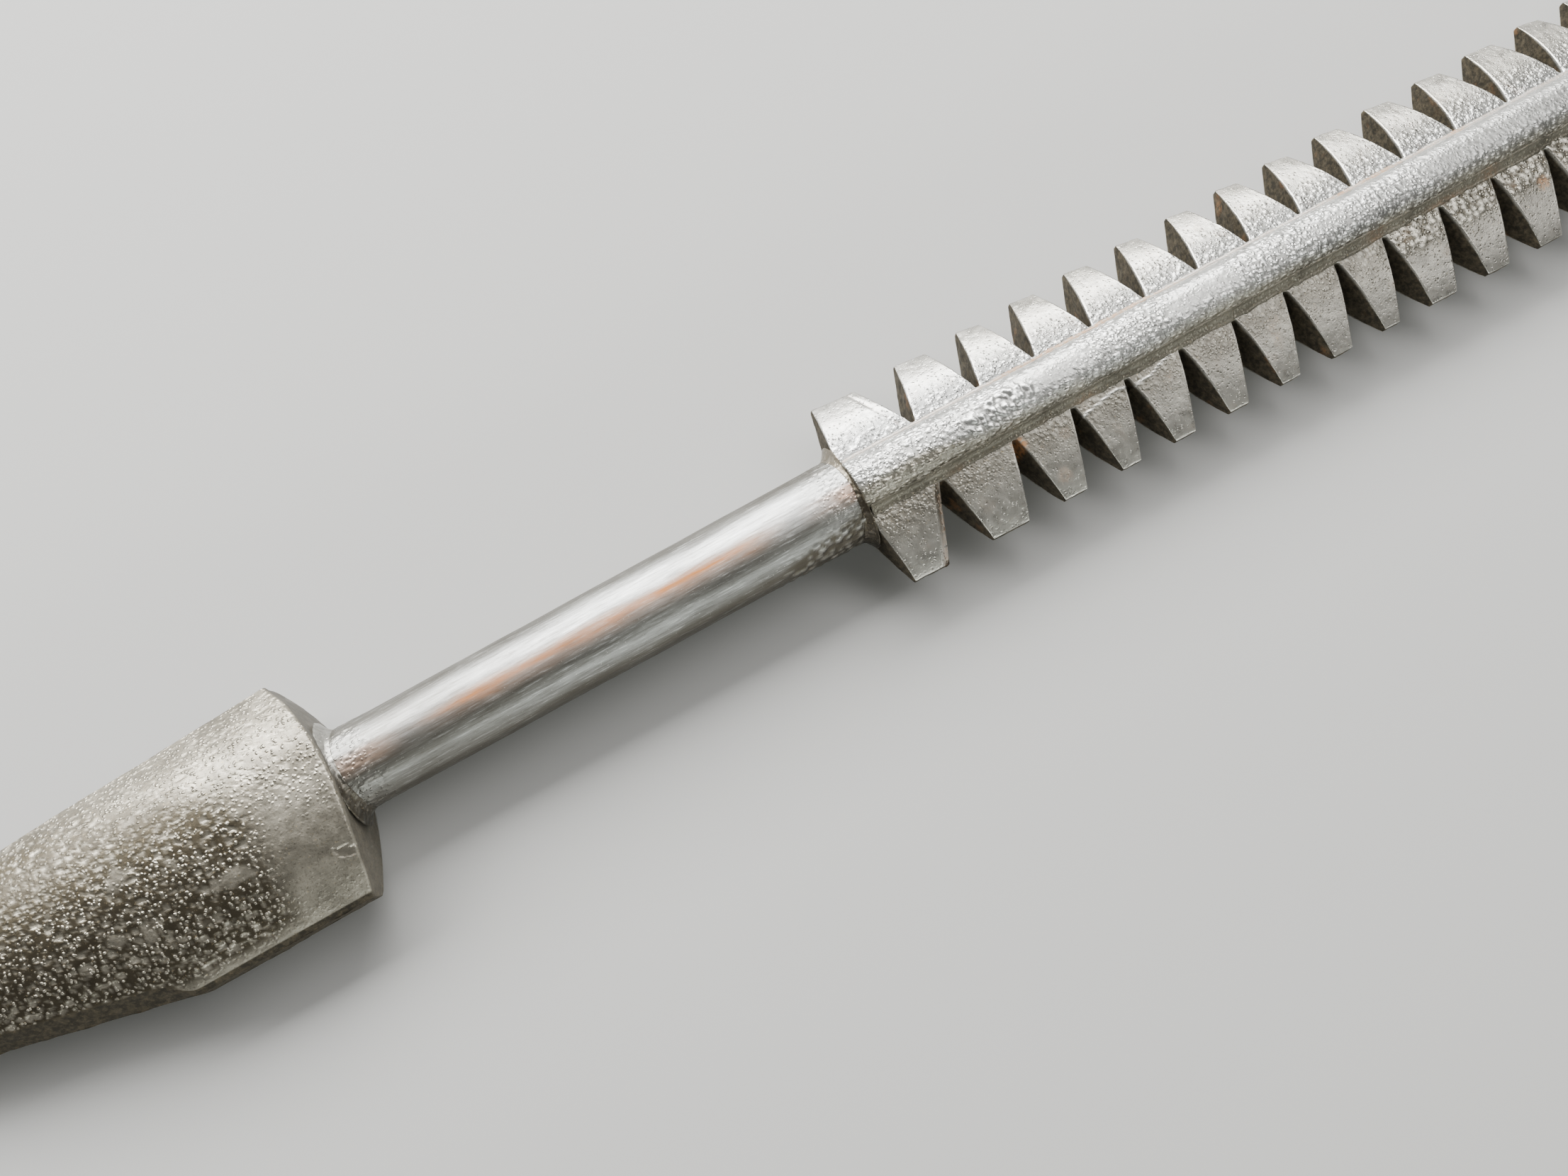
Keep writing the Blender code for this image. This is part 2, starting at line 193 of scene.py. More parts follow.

# Colours of the coats and what shows through them.
# PALE, TAN_PALE and BRIGHT colour the drops and pale marks, partly as painted highlight.
PALE = (0.66, 0.65, 0.61)
# Dark metal between drops, and also the painted shade of the neck's feet and the head's facet.
GAP_AND_SHADE_DARK = (0.080, 0.068, 0.047)
FLANK_DARK = (0.030, 0.026, 0.018)
FLANK_LIGHT = (0.115, 0.095, 0.062)
RUST = (0.42, 0.21, 0.09)
COPPER = (0.44, 0.165, 0.040)
TAN = (0.52, 0.42, 0.26)
BRIGHT = (0.88, 0.89, 0.88)
TAN_PALE = (0.54, 0.50, 0.41)
DRAWN_DARK = (0.38, 0.385, 0.38)
DRAWN_LIGHT = (0.55, 0.56, 0.555)
# Painted shade colours of the neck.
PAINTED_SHADE_DARK = (0.16, 0.155, 0.14)
PAINTED_SHADE_LIGHT = (0.29, 0.29, 0.27)
LINE_DARK = (0.10, 0.09, 0.075)

# Coats: silver and brown, roughness, distance between glossy spots, their reach as a share
# of it, and for some the colour of the drops and the strength of dark pits.
# The brown colours are mixed in by the shade mask: brown patina together with painted shade.
METALS = {
    "head_metal": ((0.34, 0.33, 0.30), (0.45, 0.42, 0.35), 0.44, 0.95 * MM, 0.47),
    "rack_metal": ((0.55, 0.56, 0.555), (0.40, 0.38, 0.325), 0.42, 0.75 * MM, 0.58, BRIGHT, 0.85),
    "spine_metal": ((0.59, 0.59, 0.57), (0.38, 0.36, 0.30), 0.40, 0.85 * MM, 0.58, BRIGHT, 0.55),
    "seam_metal": ((0.55, 0.54, 0.52), (0.25, 0.235, 0.19), 0.50, 0.8 * MM, 0.55),
    "crust_metal": ((0.34, 0.30, 0.23), (0.06, 0.05, 0.04), 0.42, 0.9 * MM, 0.50),
    "collar_metal": ((0.50, 0.49, 0.45), (0.16, 0.15, 0.13), 0.42, 0.9 * MM, 0.45),
}
MASK_NAMES = ("bead", "wet", "gap", "flank", "shade", "rust")
SPECULAR_LEVEL = 0.3
COAT_ROUGHNESS = 0.16
LINE_STRETCH = (16.0, 1.0, 1.0)
DRAWN_STRETCH = (14.0, 1.0, 1.0)

# Stage: name, place in mm from the rack's shoulder, size in m, power in W, colour.
FLOOR_HALF = 3.0
FLOOR_COLOUR = (0.40, 0.40, 0.395, 1.0)
SKY_COLOUR = (1.0, 0.98, 0.94, 1.0)
SKY_STRENGTH = 0.11
SOFTBOX_AIM = (20.0, 0.0, 0.0)
SOFTBOXES = (
    ("key_softbox", (0.0, 840.0, 620.0), (2.0, 0.60), 62.0, (1.0, 0.995, 0.97)),
    ("top_softbox", (420.0, 330.0, 1000.0), (2.4, 0.50), 16.0, (1.0, 0.99, 0.97)),
    ("fill_softbox", (0.0, -960.0, 330.0), (1.6, 0.12), 5.0, (0.95, 1.0, 0.95)),
)

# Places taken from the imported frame.
SPINE_LOW, SPINE_HIGH = (Vector(corner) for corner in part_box("spine_bar"))
NECK_LOW, NECK_HIGH = (Vector(corner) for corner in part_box("neck_rod"))
HEAD_LOW, HEAD_HIGH = (Vector(corner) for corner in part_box("head"))
MIDDLE_Y = 0.5 * (SPINE_LOW.y + SPINE_HIGH.y)
AXIS_Z = 0.5 * (NECK_LOW.z + NECK_HIGH.z)
ORIGIN = Vector((SPINE_LOW.x, MIDDLE_Y, AXIS_Z))
RACK_LENGTH = SPINE_HIGH.x - SPINE_LOW.x
SPINE_HALF = 0.5 * (SPINE_HIGH.y - SPINE_LOW.y)
SPINE_TOP = SPINE_HIGH.z - ORIGIN.z
NECK_RADIUS_AT_RACK = 0.5 * (NECK_HIGH.y - NECK_LOW.y)
HEAD_FACE_X = HEAD_HIGH.x - ORIGIN.x
HEAD_LENGTH = (HEAD_HIGH.x - HEAD_LOW.x) / NOSE_CUT

# Welds round the neck: crown and leg are their sizes over the top, the others at the sides.
SHOULDER_WELD = dict(
    face_x=0.3 * MM, direction=-1.0, inner=NECK_RADIUS_AT_RACK,
    crown=10.5 * MM, side_crown=12.6 * MM, leg=0.9 * MM, side_leg=2.6 * MM, seed=301,
)
HEAD_WELD = dict(
    face_x=HEAD_FACE_X - 0.6 * MM, direction=1.0, inner=NECK_RADIUS_AT_HEAD,
    crown=10.6 * MM, side_crown=12.0 * MM, leg=1.7 * MM, side_leg=2.8 * MM, seed=321,
)


# ---- numeric helpers


def ramp(low, high, value):
    """0 at low, 1 at high and smooth between them. Low may be above high."""
    share = np.clip((value - low) / (high - low), 0.0, 1.0)
    return share * share * (3.0 - 2.0 * share)


def lattice_noise(points, cell, seed):
    """Smooth noise between -1 and 1, from a repeating lattice of random values."""
    size = 32
    table = np.random.RandomState(seed).uniform(-1.0, 1.0, (size, size, size))
    scaled = points / cell
    base = np.floor(scaled).astype(int)
    part = scaled - base
    part = part * part * (3.0 - 2.0 * part)
    total = np.zeros(len(points))
    for corner in itertools.product((0, 1), repeat=3):
        weight = np.ones(len(points))
        for axis in range(3):
            weight *= part[:, axis] if corner[axis] else 1.0 - part[:, axis]
        index = (base + np.array(corner)) % size
        total += weight * table[index[:, 0], index[:, 1], index[:, 2]]
    return total


def fractal_noise(points, cell, seed, octaves=3):
    total = np.zeros(len(points))
    for octave in range(octaves):
        total += lattice_noise(points, cell / 2.0 ** octave, seed + octave) / 2.0 ** octave
    return total


def droplets(across, along, seed, pattern):
    """Rounded beads scattered one to a cell; returns their height share from 0 to 1."""
    spacing, small, large, chance, stretch = pattern
    size = 64
    rng = np.random.RandomState(seed)
    jitter = rng.uniform(0.15, 0.85, (size, size, 2))
    reach = rng.uniform(small, large, (size, size))
    present = rng.uniform(0.0, 1.0, (size, size)) < chance
    u = along / (spacing * stretch)
    v = across / spacing
    cell_u = np.floor(u).astype(int)
    cell_v = np.floor(v).astype(int)
    best = np.zeros(len(across))
    for step_u, step_v in itertools.product((-1, 0, 1), repeat=2):
        index_u = (cell_u + step_u) % size
        index_v = (cell_v + step_v) % size
        centre = jitter[index_u, index_v]
        gap_u = (u - (cell_u + step_u + centre[:, 0])) * spacing
        gap_v = (v - (cell_v + step_v + centre[:, 1])) * spacing
        share = (gap_u ** 2 + gap_v ** 2) / reach[index_u, index_v] ** 2
        dome = np.clip(1.0 - share, 0.0, 1.0) ** 0.7 * reach[index_u, index_v] / large
        best = np.maximum(best, np.where(present[index_u, index_v], dome, 0.0))
    return best


# ---- mesh helpers


def grid(x, y, z):
    """Stack coordinates into points, after they are broadcast to one shape."""
    return np.stack(np.broadcast_arrays(x, y, z), axis=-1)


class Skin:
    """Grid sheets that are merged into one closed mesh."""

    def __init__(self):
        self.points = []
        self.quads = []
        self.count = 0

    def sheet(self, points, wrap=False):
        """Add a rows by columns by 3 array as quads. Wrap joins the last column to the first."""
        rows, columns, _ = points.shape
        index = np.arange(rows * columns).reshape(rows, columns) + self.count
        if wrap:
            index = np.concatenate([index, index[:, :1]], axis=1)
        corners = np.stack([index[:-1, :-1], index[1:, :-1], index[1:, 1:], index[:-1, 1:]], axis=-1)
        self.points.append(points.reshape(-1, 3))
        self.quads.append(corners.reshape(-1, 4))
        self.count += rows * columns

    def close_ends(self, rows, steps):
        """Cap both ends of a tube grid by shrinking its end rings to their middles."""
        for ring in (rows[0], rows[-1]):
            middle = ring.mean(axis=0)
            share = np.linspace(1.0, 0.0, steps + 1)[:, None, None]
            self.sheet(middle + (ring - middle)[None] * share, wrap=True)

    def mesh(self, name):
        """Merge shared edges, turn the faces outwards and return the mesh."""
        mesh = bpy.data.meshes.new(name)
        points = np.concatenate(self.points)
        quads = np.concatenate(self.quads)
        mesh.from_pydata(points.tolist(), [], quads.tolist())
        work = bmesh.new()
        work.from_mesh(mesh)
        bmesh.ops.remove_doubles(work, verts=work.verts, dist=0.002 * MM)
        bmesh.ops.dissolve_degenerate(work, edges=work.edges, dist=0.001 * MM)
        bmesh.ops.recalc_face_normals(work, faces=work.faces)
        work.to_mesh(mesh)
        work.free()
        return mesh


def tube_mesh(name, rows, cap_steps):
    """Closed mesh of a tube whose rings are the rows of a grid."""
    skin = Skin()
    skin.sheet(rows, wrap=True)
    skin.close_ends(rows, cap_steps)
    return skin.mesh(name)


def add_object(name, data):
    item = bpy.data.objects.new(name, data)
    bpy.context.scene.collection.objects.link(item)
    return item


def read_vectors(items, name):
    flat = np.empty(3 * len(items))
    items.foreach_get(name, flat)
    return flat.reshape(-1, 3)


def set_points(mesh, points):
    mesh.vertices.foreach_set("co", points.reshape(-1))
    mesh.update()


def relax(mesh, rounds, strength=0.5):
    """Round the sharp edges by averaging each vertex with its neighbours."""
    ends = np.empty(2 * len(mesh.edges), dtype=int)
    mesh.edges.foreach_get("vertices", ends)
    ends = ends.reshape(-1, 2)
    points = read_vectors(mesh.vertices, "co")
    degree = np.bincount(ends.reshape(-1), minlength=len(points))[:, None]
    for _ in range(rounds):
        total = np.zeros_like(points)
        np.add.at(total, ends[:, 0], points[ends[:, 1]])
        np.add.at(total, ends[:, 1], points[ends[:, 0]])
        points = points + strength * (total / degree - points)
    set_points(mesh, points)


class Surface:
    """Vertices and normals of a mesh before its relief is raised."""

    def __init__(self, mesh):
        self.mesh = mesh
        self.points = read_vectors(mesh.vertices, "co")
        self.normals = read_vectors(mesh.vertex_normals, "vector")
        self.x, self.y, self.z = self.points.T
        self.flatness = np.abs(self.normals[:, 2])
        self.under = ramp(0.0, -0.3, self.normals[:, 2])

    def noise(self, cell, seed, squeeze=1.0, octaves=3):
        """Fractal noise. A squeeze below 1 draws its features out along the bar."""
        return fractal_noise(self.points * (squeeze, 1.0, 1.0), cell, seed, octaves)

    def raise_relief(self, heights, fade=1.0, cut=0.0, **parts):
        """Raise each part along the normals by its height, and lower all by the cut."""
        lift = sum(heights[name] * part for name, part in parts.items()) * fade
        moved = self.points + self.normals * lift[:, None]
        moved[:, 2] -= cut
        set_points(self.mesh, moved)


def write_masks(mesh, **masks):
    """Store one value from 0 to 1 a vertex for each mask that the materials read."""
    for name in MASK_NAMES:
        values = np.broadcast_to(masks.get(name, 0.0), len(mesh.vertices))
        layer = mesh.attributes.new(name, "FLOAT", "POINT")
        layer.data.foreach_set("value", np.clip(values, 0.0, 1.0).astype(np.float32))


def place(mesh, material, node):
    """Keep a finished mesh above the floor, move it into the part's frame and register it."""
    points = read_vectors(mesh.vertices, "co")
    points[:, 2] = np.maximum(points[:, 2], SPINE_LOW.z - ORIGIN.z)
    set_points(mesh, points)
    mesh.transform(Matrix.Translation(ORIGIN))
    mesh.shade_smooth()
    mesh.materials.append(material)
    piece = add_object(mesh.name, mesh)
    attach(piece, "root")
    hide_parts(node)


# ---- toothed strips


def notch_x(row, index):
    """Middle of a notch's floor: a slow wave in the spacing, and a few cuts off their marks."""
    phase = 2.0 * math.pi * (index - SPACING_WAVE_PHASE) / SPACING_WAVE_PERIOD
    marked = FIRST_NOTCH + index * PITCH + SPACING_WAVE * math.cos(phase)
    return marked + row["sawn_off"].get(index, 0.0)


def tip_reach(row, x):
    return row["tip"] + row["spread"] * x


def wing_half_thickness(y, tip):
    share = np.clip((y - SPINE_HALF) / (tip - SPINE_HALF), 0.0, 1.0)
    return WING_TIP_HALF + (WING_ROOT_HALF - WING_TIP_HALF) * (1.0 - share ** WING_CROWN)


def tooth_edges(row, index):
    """Root and tip ends of one tooth as two (x at root, x at tip) lines."""
    if index == 0:
        lead = (0.0, SHOULDER_SWEEP)
    else:
        centre = notch_x(row, index - 1)
        lead = (centre + NOTCH_FLOOR_HALF, centre + row["lead"])
    if index == TOOTH_COUNT - 1:
        trail = (RACK_LENGTH, RACK_LENGTH - SHOULDER_SWEEP)
    else:
        centre = notch_x(row, index)
        run = row["first_trail"] if index == 0 else row["trail"]
        trail = (centre - NOTCH_FLOOR_HALF, centre - run)
    return lead, trail


class StripSkin(Skin):
    """Dense closed skin of one toothed strip: ledge, teeth, flanks and notch floors."""

    def __init__(self, row):
        super().__init__()
        self.row = row
        self.inner = SPINE_HALF - STRIP_OVERLAP
        self.levels = np.linspace(-1.0, 1.0, CELLS_UP + 1)
        self.ledge_y = np.linspace(self.inner, row["floor"], CELLS_LEDGE + 1)
        earlier = None
        for index in range(TOOTH_COUNT):
            lead, trail = self.tooth(index)
            if earlier is None:
                self.ledge_end(*lead)
            else:
                self.notch_floor(earlier, lead)
            earlier = trail
        self.ledge_end(*earlier)

    def lens(self, x, y, tip, level):
        """Points at plan position (x, y), at level times the wing's half thickness."""
        return grid(x, self.row["side"] * y, level * wing_half_thickness(y, tip))

    def plan(self, x, y, tip):
        """Underside and top over the same plan positions."""
        for level in (-1.0, 1.0):
            self.sheet(self.lens(x, y, tip, level))

    def wall(self, x, y, tip):
        """Upright sheet along a line of plan positions."""
        self.sheet(self.lens(x[:, None], y[:, None], tip[:, None], self.levels))

    def ledge(self, x, tip):
        """The narrow band between the spine and the notch floors."""
        grid_x, grid_y = np.meshgrid(x, self.ledge_y)
        self.plan(grid_x, grid_y, tip)
        self.wall(x, np.full(len(x), self.inner), tip)

    def ledge_end(self, x, tip):
        count = len(self.ledge_y)
        self.wall(np.full(count, x), self.ledge_y, np.full(count, tip))

    def notch_floor(self, before, after):
        """Floor and ledge between two teeth, whose facing edges are (x, tip reach) pairs."""
        x = np.linspace(before[0], after[0], CELLS_FLOOR + 1)
        tip = np.linspace(before[1], after[1], CELLS_FLOOR + 1)
        self.ledge(x, tip)
        self.wall(x, np.full(len(x), self.row["floor"]), tip)

    def tooth(self, index):
        """One tooth and its ledge. Returns both its edges as (x at root, tip reach)."""
        lead, trail = tooth_edges(self.row, index)
        tip_lead = tip_reach(self.row, lead[1])
        tip_trail = tip_reach(self.row, trail[1]) - self.row["tip_slant"]
        share_x = np.linspace(0.0, 1.0, CELLS_ALONG + 1)
        share_y = np.linspace(0.0, 1.0, CELLS_ACROSS + 1)
        across, up = np.meshgrid(share_x, share_y)
        tips = tip_lead + (tip_trail - tip_lead) * across
        lead_x = lead[0] + (lead[1] - lead[0]) * up
        trail_x = trail[0] + (trail[1] - trail[0]) * up
        grid_x = lead_x + (trail_x - lead_x) * across
        grid_y = self.row["floor"] + (tips - self.row["floor"]) * up
        self.plan(grid_x, grid_y, tips)
        self.wall(grid_x[:, 0], grid_y[:, 0], tips[:, 0])
        self.wall(grid_x[:, -1], grid_y[:, -1], tips[:, -1])
        self.wall(grid_x[-1], grid_y[-1], tips[-1])
        self.ledge(grid_x[0], tips[0])
        return (lead[0], tip_lead), (trail[0], tip_trail)


def first_tooth_cut(points, row):
    """Depth taken off the first tooth: a scribed line on the left one, a bevel on the right one."""
    trail_root, trail_tip = tooth_edges(row, 0)[1]
    share = (np.abs(points[:, 1]) - row["floor"]) / (row["tip"] - row["floor"])
    edge_x = trail_root + (trail_tip - trail_root) * np.clip(share, 0.0, 1.0)
    inside = edge_x - points[:, 0]
    on_tooth = (inside > -1.0 * MM) & (points[:, 0] < FIRST_NOTCH) & (points[:, 2] > 0.0)
    if row["side"] > 0.0:
        line = np.exp(-((inside - SCRIBE_INSET) / SCRIBE_WIDTH) ** 2)
        depth = SCRIBE_DEPTH * line * ramp(-0.05, 0.1, share)
    else:
        slope = 1.0 - ramp(0.2 * MM, BEVEL_WIDTH, inside)
        depth = BEVEL_DEPTH * slope * ramp(-0.1, 0.2, share)
    return np.where(on_tooth, depth, 0.0)


def scratch_height(points):
    """Raised pale scratch that wanders over the fourth and fifth right teeth."""
    course = np.interp(points[:, 0], SCRATCH_X, SCRATCH_Y)
    along = ramp(SCRATCH_X[0], SCRATCH_X[0] + SCRATCH_FADE, points[:, 0])
    along *= 1.0 - ramp(SCRATCH_X[-1] - SCRATCH_FADE, SCRATCH_X[-1], points[:, 0])
    wobble = 0.4 * MM * lattice_noise(points, 3.0 * MM, 91)
    line = np.exp(-((points[:, 1] - course - wobble) / SCRATCH_WIDTH) ** 2)
    return np.where(points[:, 2] > 0.0, line * along, 0.0)


def left_finish(base, near_spine):
    """Left strip: silver and pimpled near the spine, with painted shade on the tips, more further
    along, and underneath.
    """
    # far and tips set where the faces are given painted shade.
    far = ramp(15.0 * MM, 60.0 * MM, base.x)
    tips = ramp(8.0 * MM - 4.0 * MM * far, 18.0 * MM, np.abs(base.y))
    return dict(
        shade=0.02 + (0.60 + 0.30 * far) * tips + 0.5 * base.under,
        wet=0.45 + 0.55 * near_spine,
        gap=0.32 + 0.48 * near_spine,
        pimpled=near_spine,
        crackle=0.0,
        scratch=0.0,
    )


def right_finish(base, near_spine, cloud):
    """Right strip: brown patina with painted shade, and crackled near the spine at its far end."""
    crackle = ramp(CRACKLE_FROM, CRACKLE_FULL, base.x)
    crackle = crackle * ramp(0.15, 0.6, near_spine + 0.3 * cloud)
    return dict(
        # Brown patina with painted shade, more underneath.
        shade=0.92 + 0.08 * base.under,
        wet=0.48 + 0.20 * cloud + 0.5 * crackle,
        gap=0.38 + 0.20 * cloud + 0.6 * crackle + 0.30 * near_spine,
        pimpled=0.3 * near_spine,
        crackle=crackle,
        scratch=scratch_height(base.points),
    )


def strip_rust(base, flank, row):
    """Faint rust everywhere, more of it on the flanks, and round spots on the right teeth."""
    cloud = base.noise(4.0 * MM, row["seed"] + 12)
    rust = ramp(0.45, 1.0, cloud) * (0.10 + 0.20 * flank)
    if row["side"] < 0.0:
        for spot_x, spot_y, share in RUST_SPOTS:
            distance = np.hypot(base.x - spot_x, np.abs(base.y) - spot_y)
            rust = np.maximum(rust, share * (1.0 - ramp(1.0 * MM, 2.4 * MM, distance)))
    return rust


def strip_edge_highlight(base):
    """Share of a painted highlight along the rounded edges between the faces and the flanks."""
    turn = ramp(0.99, 0.88, base.flatness) * ramp(0.35, 0.55, base.flatness)
    return turn * ramp(0.5 * MM, 1.5 * MM, np.abs(base.y) - SPINE_HALF)


def make_strip(name, row):
    """One toothed strip with pimpled faces, rough sawn flanks and worn edges."""
    seed = row["seed"]
    mesh = StripSkin(row).mesh(name)
    relax(mesh, 2, 0.35)
    base = Surface(mesh)
    flank = 1.0 - ramp(0.30, 0.62, base.flatness)
    cloud = base.noise(11.0 * MM, seed + 2)
    from_spine = np.abs(base.y) - SPINE_HALF
    near_spine = 1.0 - ramp(3.0 * MM, 12.5 * MM, from_spine + 2.0 * MM * cloud)
    if row["side"] > 0.0:
        finish = left_finish(base, near_spine)
    else:
        finish = right_finish(base, near_spine, cloud)
    pimples = droplets(base.y, base.x, seed, PIMPLES) * (0.15 + 0.85 * finish["pimpled"])
    flakes = droplets(base.y, base.x, seed + 6, CRACKLE) * finish["crackle"]
    bead = np.maximum(pimples, flakes) * (1.0 - flank)
    scratch = finish["scratch"]
    cut = first_tooth_cut(base.points, row)
    base.raise_relief(
        STRIP_RELIEF,
        fade=ramp(0.0, 1.2 * MM, from_spine),
        cut=cut,
        bead=bead,
        scratch=scratch,
        swell=cloud,
        sawn=flank * base.noise(2.6 * MM, seed + 4),
        grain=base.noise(0.9 * MM, seed + 8, octaves=2),
    )
    bevel = cut / BEVEL_DEPTH
    # Painted highlight along the rounded edges.
    edge = strip_edge_highlight(base)
    write_masks(
        mesh,
        bead=np.maximum(np.maximum(bead, scratch), 0.8 * edge),
        wet=(finish["wet"] + 0.5 * bevel) * (1.0 - flank),
        gap=(finish["gap"] + 0.5 * bevel) * (1.0 - flank) * (1.0 - scratch),
        flank=flank * (1.0 - edge),
        shade=finish["shade"] * (1.0 - 0.7 * np.maximum(scratch, 0.4 * edge)),
        rust=np.maximum(strip_rust(base, flank, row), 0.35 * bevel),
    )
    return mesh


# ---- spine


def spine_ring(step):
    """Rounded top and bottom with straight sides, as nearly evenly spaced (y, z) points."""
    centre = SPINE_TOP - SPINE_HALF
    arc_steps = int(math.pi * SPINE_HALF / step)
    side_steps = int(2.0 * centre / (3.0 * step))
    turn = np.linspace(0.0, math.pi, arc_steps, endpoint=False)
    fall = np.linspace(centre, -centre, side_steps, endpoint=False)
    flat_cos = np.sign(np.cos(turn)) * np.abs(np.cos(turn)) ** SPINE_ROUNDING
    flat_sin = np.sin(turn) ** SPINE_ROUNDING
    top = np.stack([flat_cos, flat_sin], axis=-1) * SPINE_HALF + (0.0, centre)
    left = np.stack([np.full(side_steps, -SPINE_HALF), fall], axis=-1)
    half = np.concatenate([top, left])
    floor = -centre - math.sqrt(SPINE_HALF ** 2 - SPINE_FLAT_HALF ** 2)
    ring = np.concatenate([half, -half])
    ring[:, 1] = np.maximum(ring[:, 1], floor)
    return ring


def spine_mesh(name):
    """Smooth closed spine, before its relief is raised."""
    stations = np.linspace(0.0, RACK_LENGTH, int(RACK_LENGTH / SPINE_STEP))
    ring = spine_ring(SPINE_STEP)
    mesh = tube_mesh(name, grid(stations[:, None], ring[:, 0], ring[:, 1]), 8)
    relax(mesh, 1)
    return mesh


def blister_cluster(base):
    """Share of the patch of large blisters on top of the spine."""
    gap = np.hypot((base.x - CLUSTER_X) / CLUSTER_STRETCH, base.y - CLUSTER_Y)
    gap += 1.2 * MM * base.noise(3.0 * MM, 27)
    return (1.0 - ramp(3.0 * MM, 4.6 * MM, gap)) * (1.0 - base.under)


def make_spine(name):
    """Half-round rib with stretched beads, a blister cluster and dark gaps on its right side."""
    mesh = spine_mesh(name)
    base = Surface(mesh)
    x, y = base.x, base.y
    arc = SPINE_HALF * np.arctan2(y, np.abs(base.z) - 6.0 * MM)
    beads = droplets(arc, x, 21, SPINE_BEADS)
    blisters = droplets(0.8 * arc + 0.6 * x, 0.8 * x - 0.6 * arc, 24, BLISTERS)
    cluster = blister_cluster(base)
    patch = ramp(-0.25, 0.35, base.noise(9.0 * MM, 31, 0.5))
    right_side = ramp(0.5 * MM, -4.0 * MM, y)
    far = ramp(90.0 * MM, 125.0 * MM, x)
    spread = beads * (0.30 + 0.70 * np.maximum(patch, right_side))
    round_part = ramp(-0.2, 0.4, base.flatness)
    base.raise_relief(
        SPINE_RELIEF,
        fade=round_part,
        bead=spread * (1.0 - cluster),
        blister=blisters * cluster,
        swell=base.noise(8.0 * MM, 41, 0.5),
        grain=base.noise(1.1 * MM, 44, octaves=2),
    )
    # Painted shade on the rib's right side and underneath, with brown patina near the shoulder.
    brown_and_shade_y = y + 0.8 * MM * patch - 3.2 * MM * ramp(32.0 * MM, 14.0 * MM, x)
    end_face = ramp(0.5, 0.9, np.abs(base.normals[:, 0]))
    write_masks(
        mesh,
        bead=np.maximum(spread, blisters * cluster),
        wet=(0.45 + 0.55 * patch) * (1.0 - cluster),
        gap=0.16 + 0.20 * patch + right_side * (0.15 * patch + 0.40 * far) + 0.3 * cluster,
        shade=np.maximum(0.95 * ramp(-2.4 * MM, -5.4 * MM, brown_and_shade_y), 0.85 * base.under),
        flank=np.maximum(0.5 * (1.0 - round_part), end_face),
    )
    return mesh


# ---- neck


def rust_streak(base):
    """Share of worn rust along the neck: a sharp broken line within a faint wide band."""
    x, y = base.x, base.y
    along = ramp(-108.0 * MM, -86.0 * MM, x) * (1.0 - ramp(-34.0 * MM, -14.0 * MM, x))
    broken = ramp(-0.55, 0.25, base.noise(1.3 * MM, 66, 0.12))
    line = np.exp(-((y - STREAK_Y) / STREAK_HALF) ** 2) * (0.75 + 0.25 * broken)
    band = ramp(-4.2 * MM, -1.5 * MM, y) * (1.0 - ramp(0.2 * MM, 2.0 * MM, y))
    ends = ramp(-16.0 * MM, -4.0 * MM, x) + ramp(-104.0 * MM, -114.0 * MM, x)
    cloud = ramp(-0.3, 0.6, base.noise(5.0 * MM, 68, 0.4))
    share = np.maximum(line * along, 0.62 * band * (along + ends) * (0.4 + 0.6 * cloud))
    return np.where(base.z > 0.0, share, 0.0)


def neck_painted_shade(y):
    """Painted shade on the neck: its right side and left foot, less on a painted highlight band."""
    painted_highlight_band = 0.45 * np.exp(-((y + 6.5 * MM) / (1.3 * MM)) ** 2)
    right = ramp(1.5 * MM, -4.5 * MM, y) * (1.0 - painted_highlight_band)
    return np.maximum(right, ramp(4.5 * MM, 7.5 * MM, y))


def neck_foot_shade_and_dark_end(x, y):
    """Darkened share of the neck's surface: painted shade along both of its feet, and darker towards
    the head.
    """
    left_foot = 0.55 * ramp(6.5 * MM, 9.0 * MM, y)
    right_foot = 0.7 * ramp(-7.8 * MM, -9.0 * MM, y)
    towards_head = 0.50 * ramp(-55.0 * MM, -112.0 * MM, x)
    return np.maximum(np.maximum(left_foot, right_foot), towards_head)


def neck_mesh(name):
    """Smooth closed neck, which tapers towards the head and ends just inside it."""
    head_end = HEAD_FACE_X - NECK_OVERLAP
    stations = np.linspace(head_end, 0.0, int(-head_end / NECK_STEP))
    turns = np.linspace(0.0, 2.0 * math.pi, NECK_AROUND, endpoint=False)
    stations = stations[:, None]
    taper = (stations - head_end) / -head_end
    radius = NECK_RADIUS_AT_HEAD + (NECK_RADIUS_AT_RACK - NECK_RADIUS_AT_HEAD) * taper
    return tube_mesh(name, grid(stations, radius * np.sin(turns), radius * np.cos(turns)), 6)


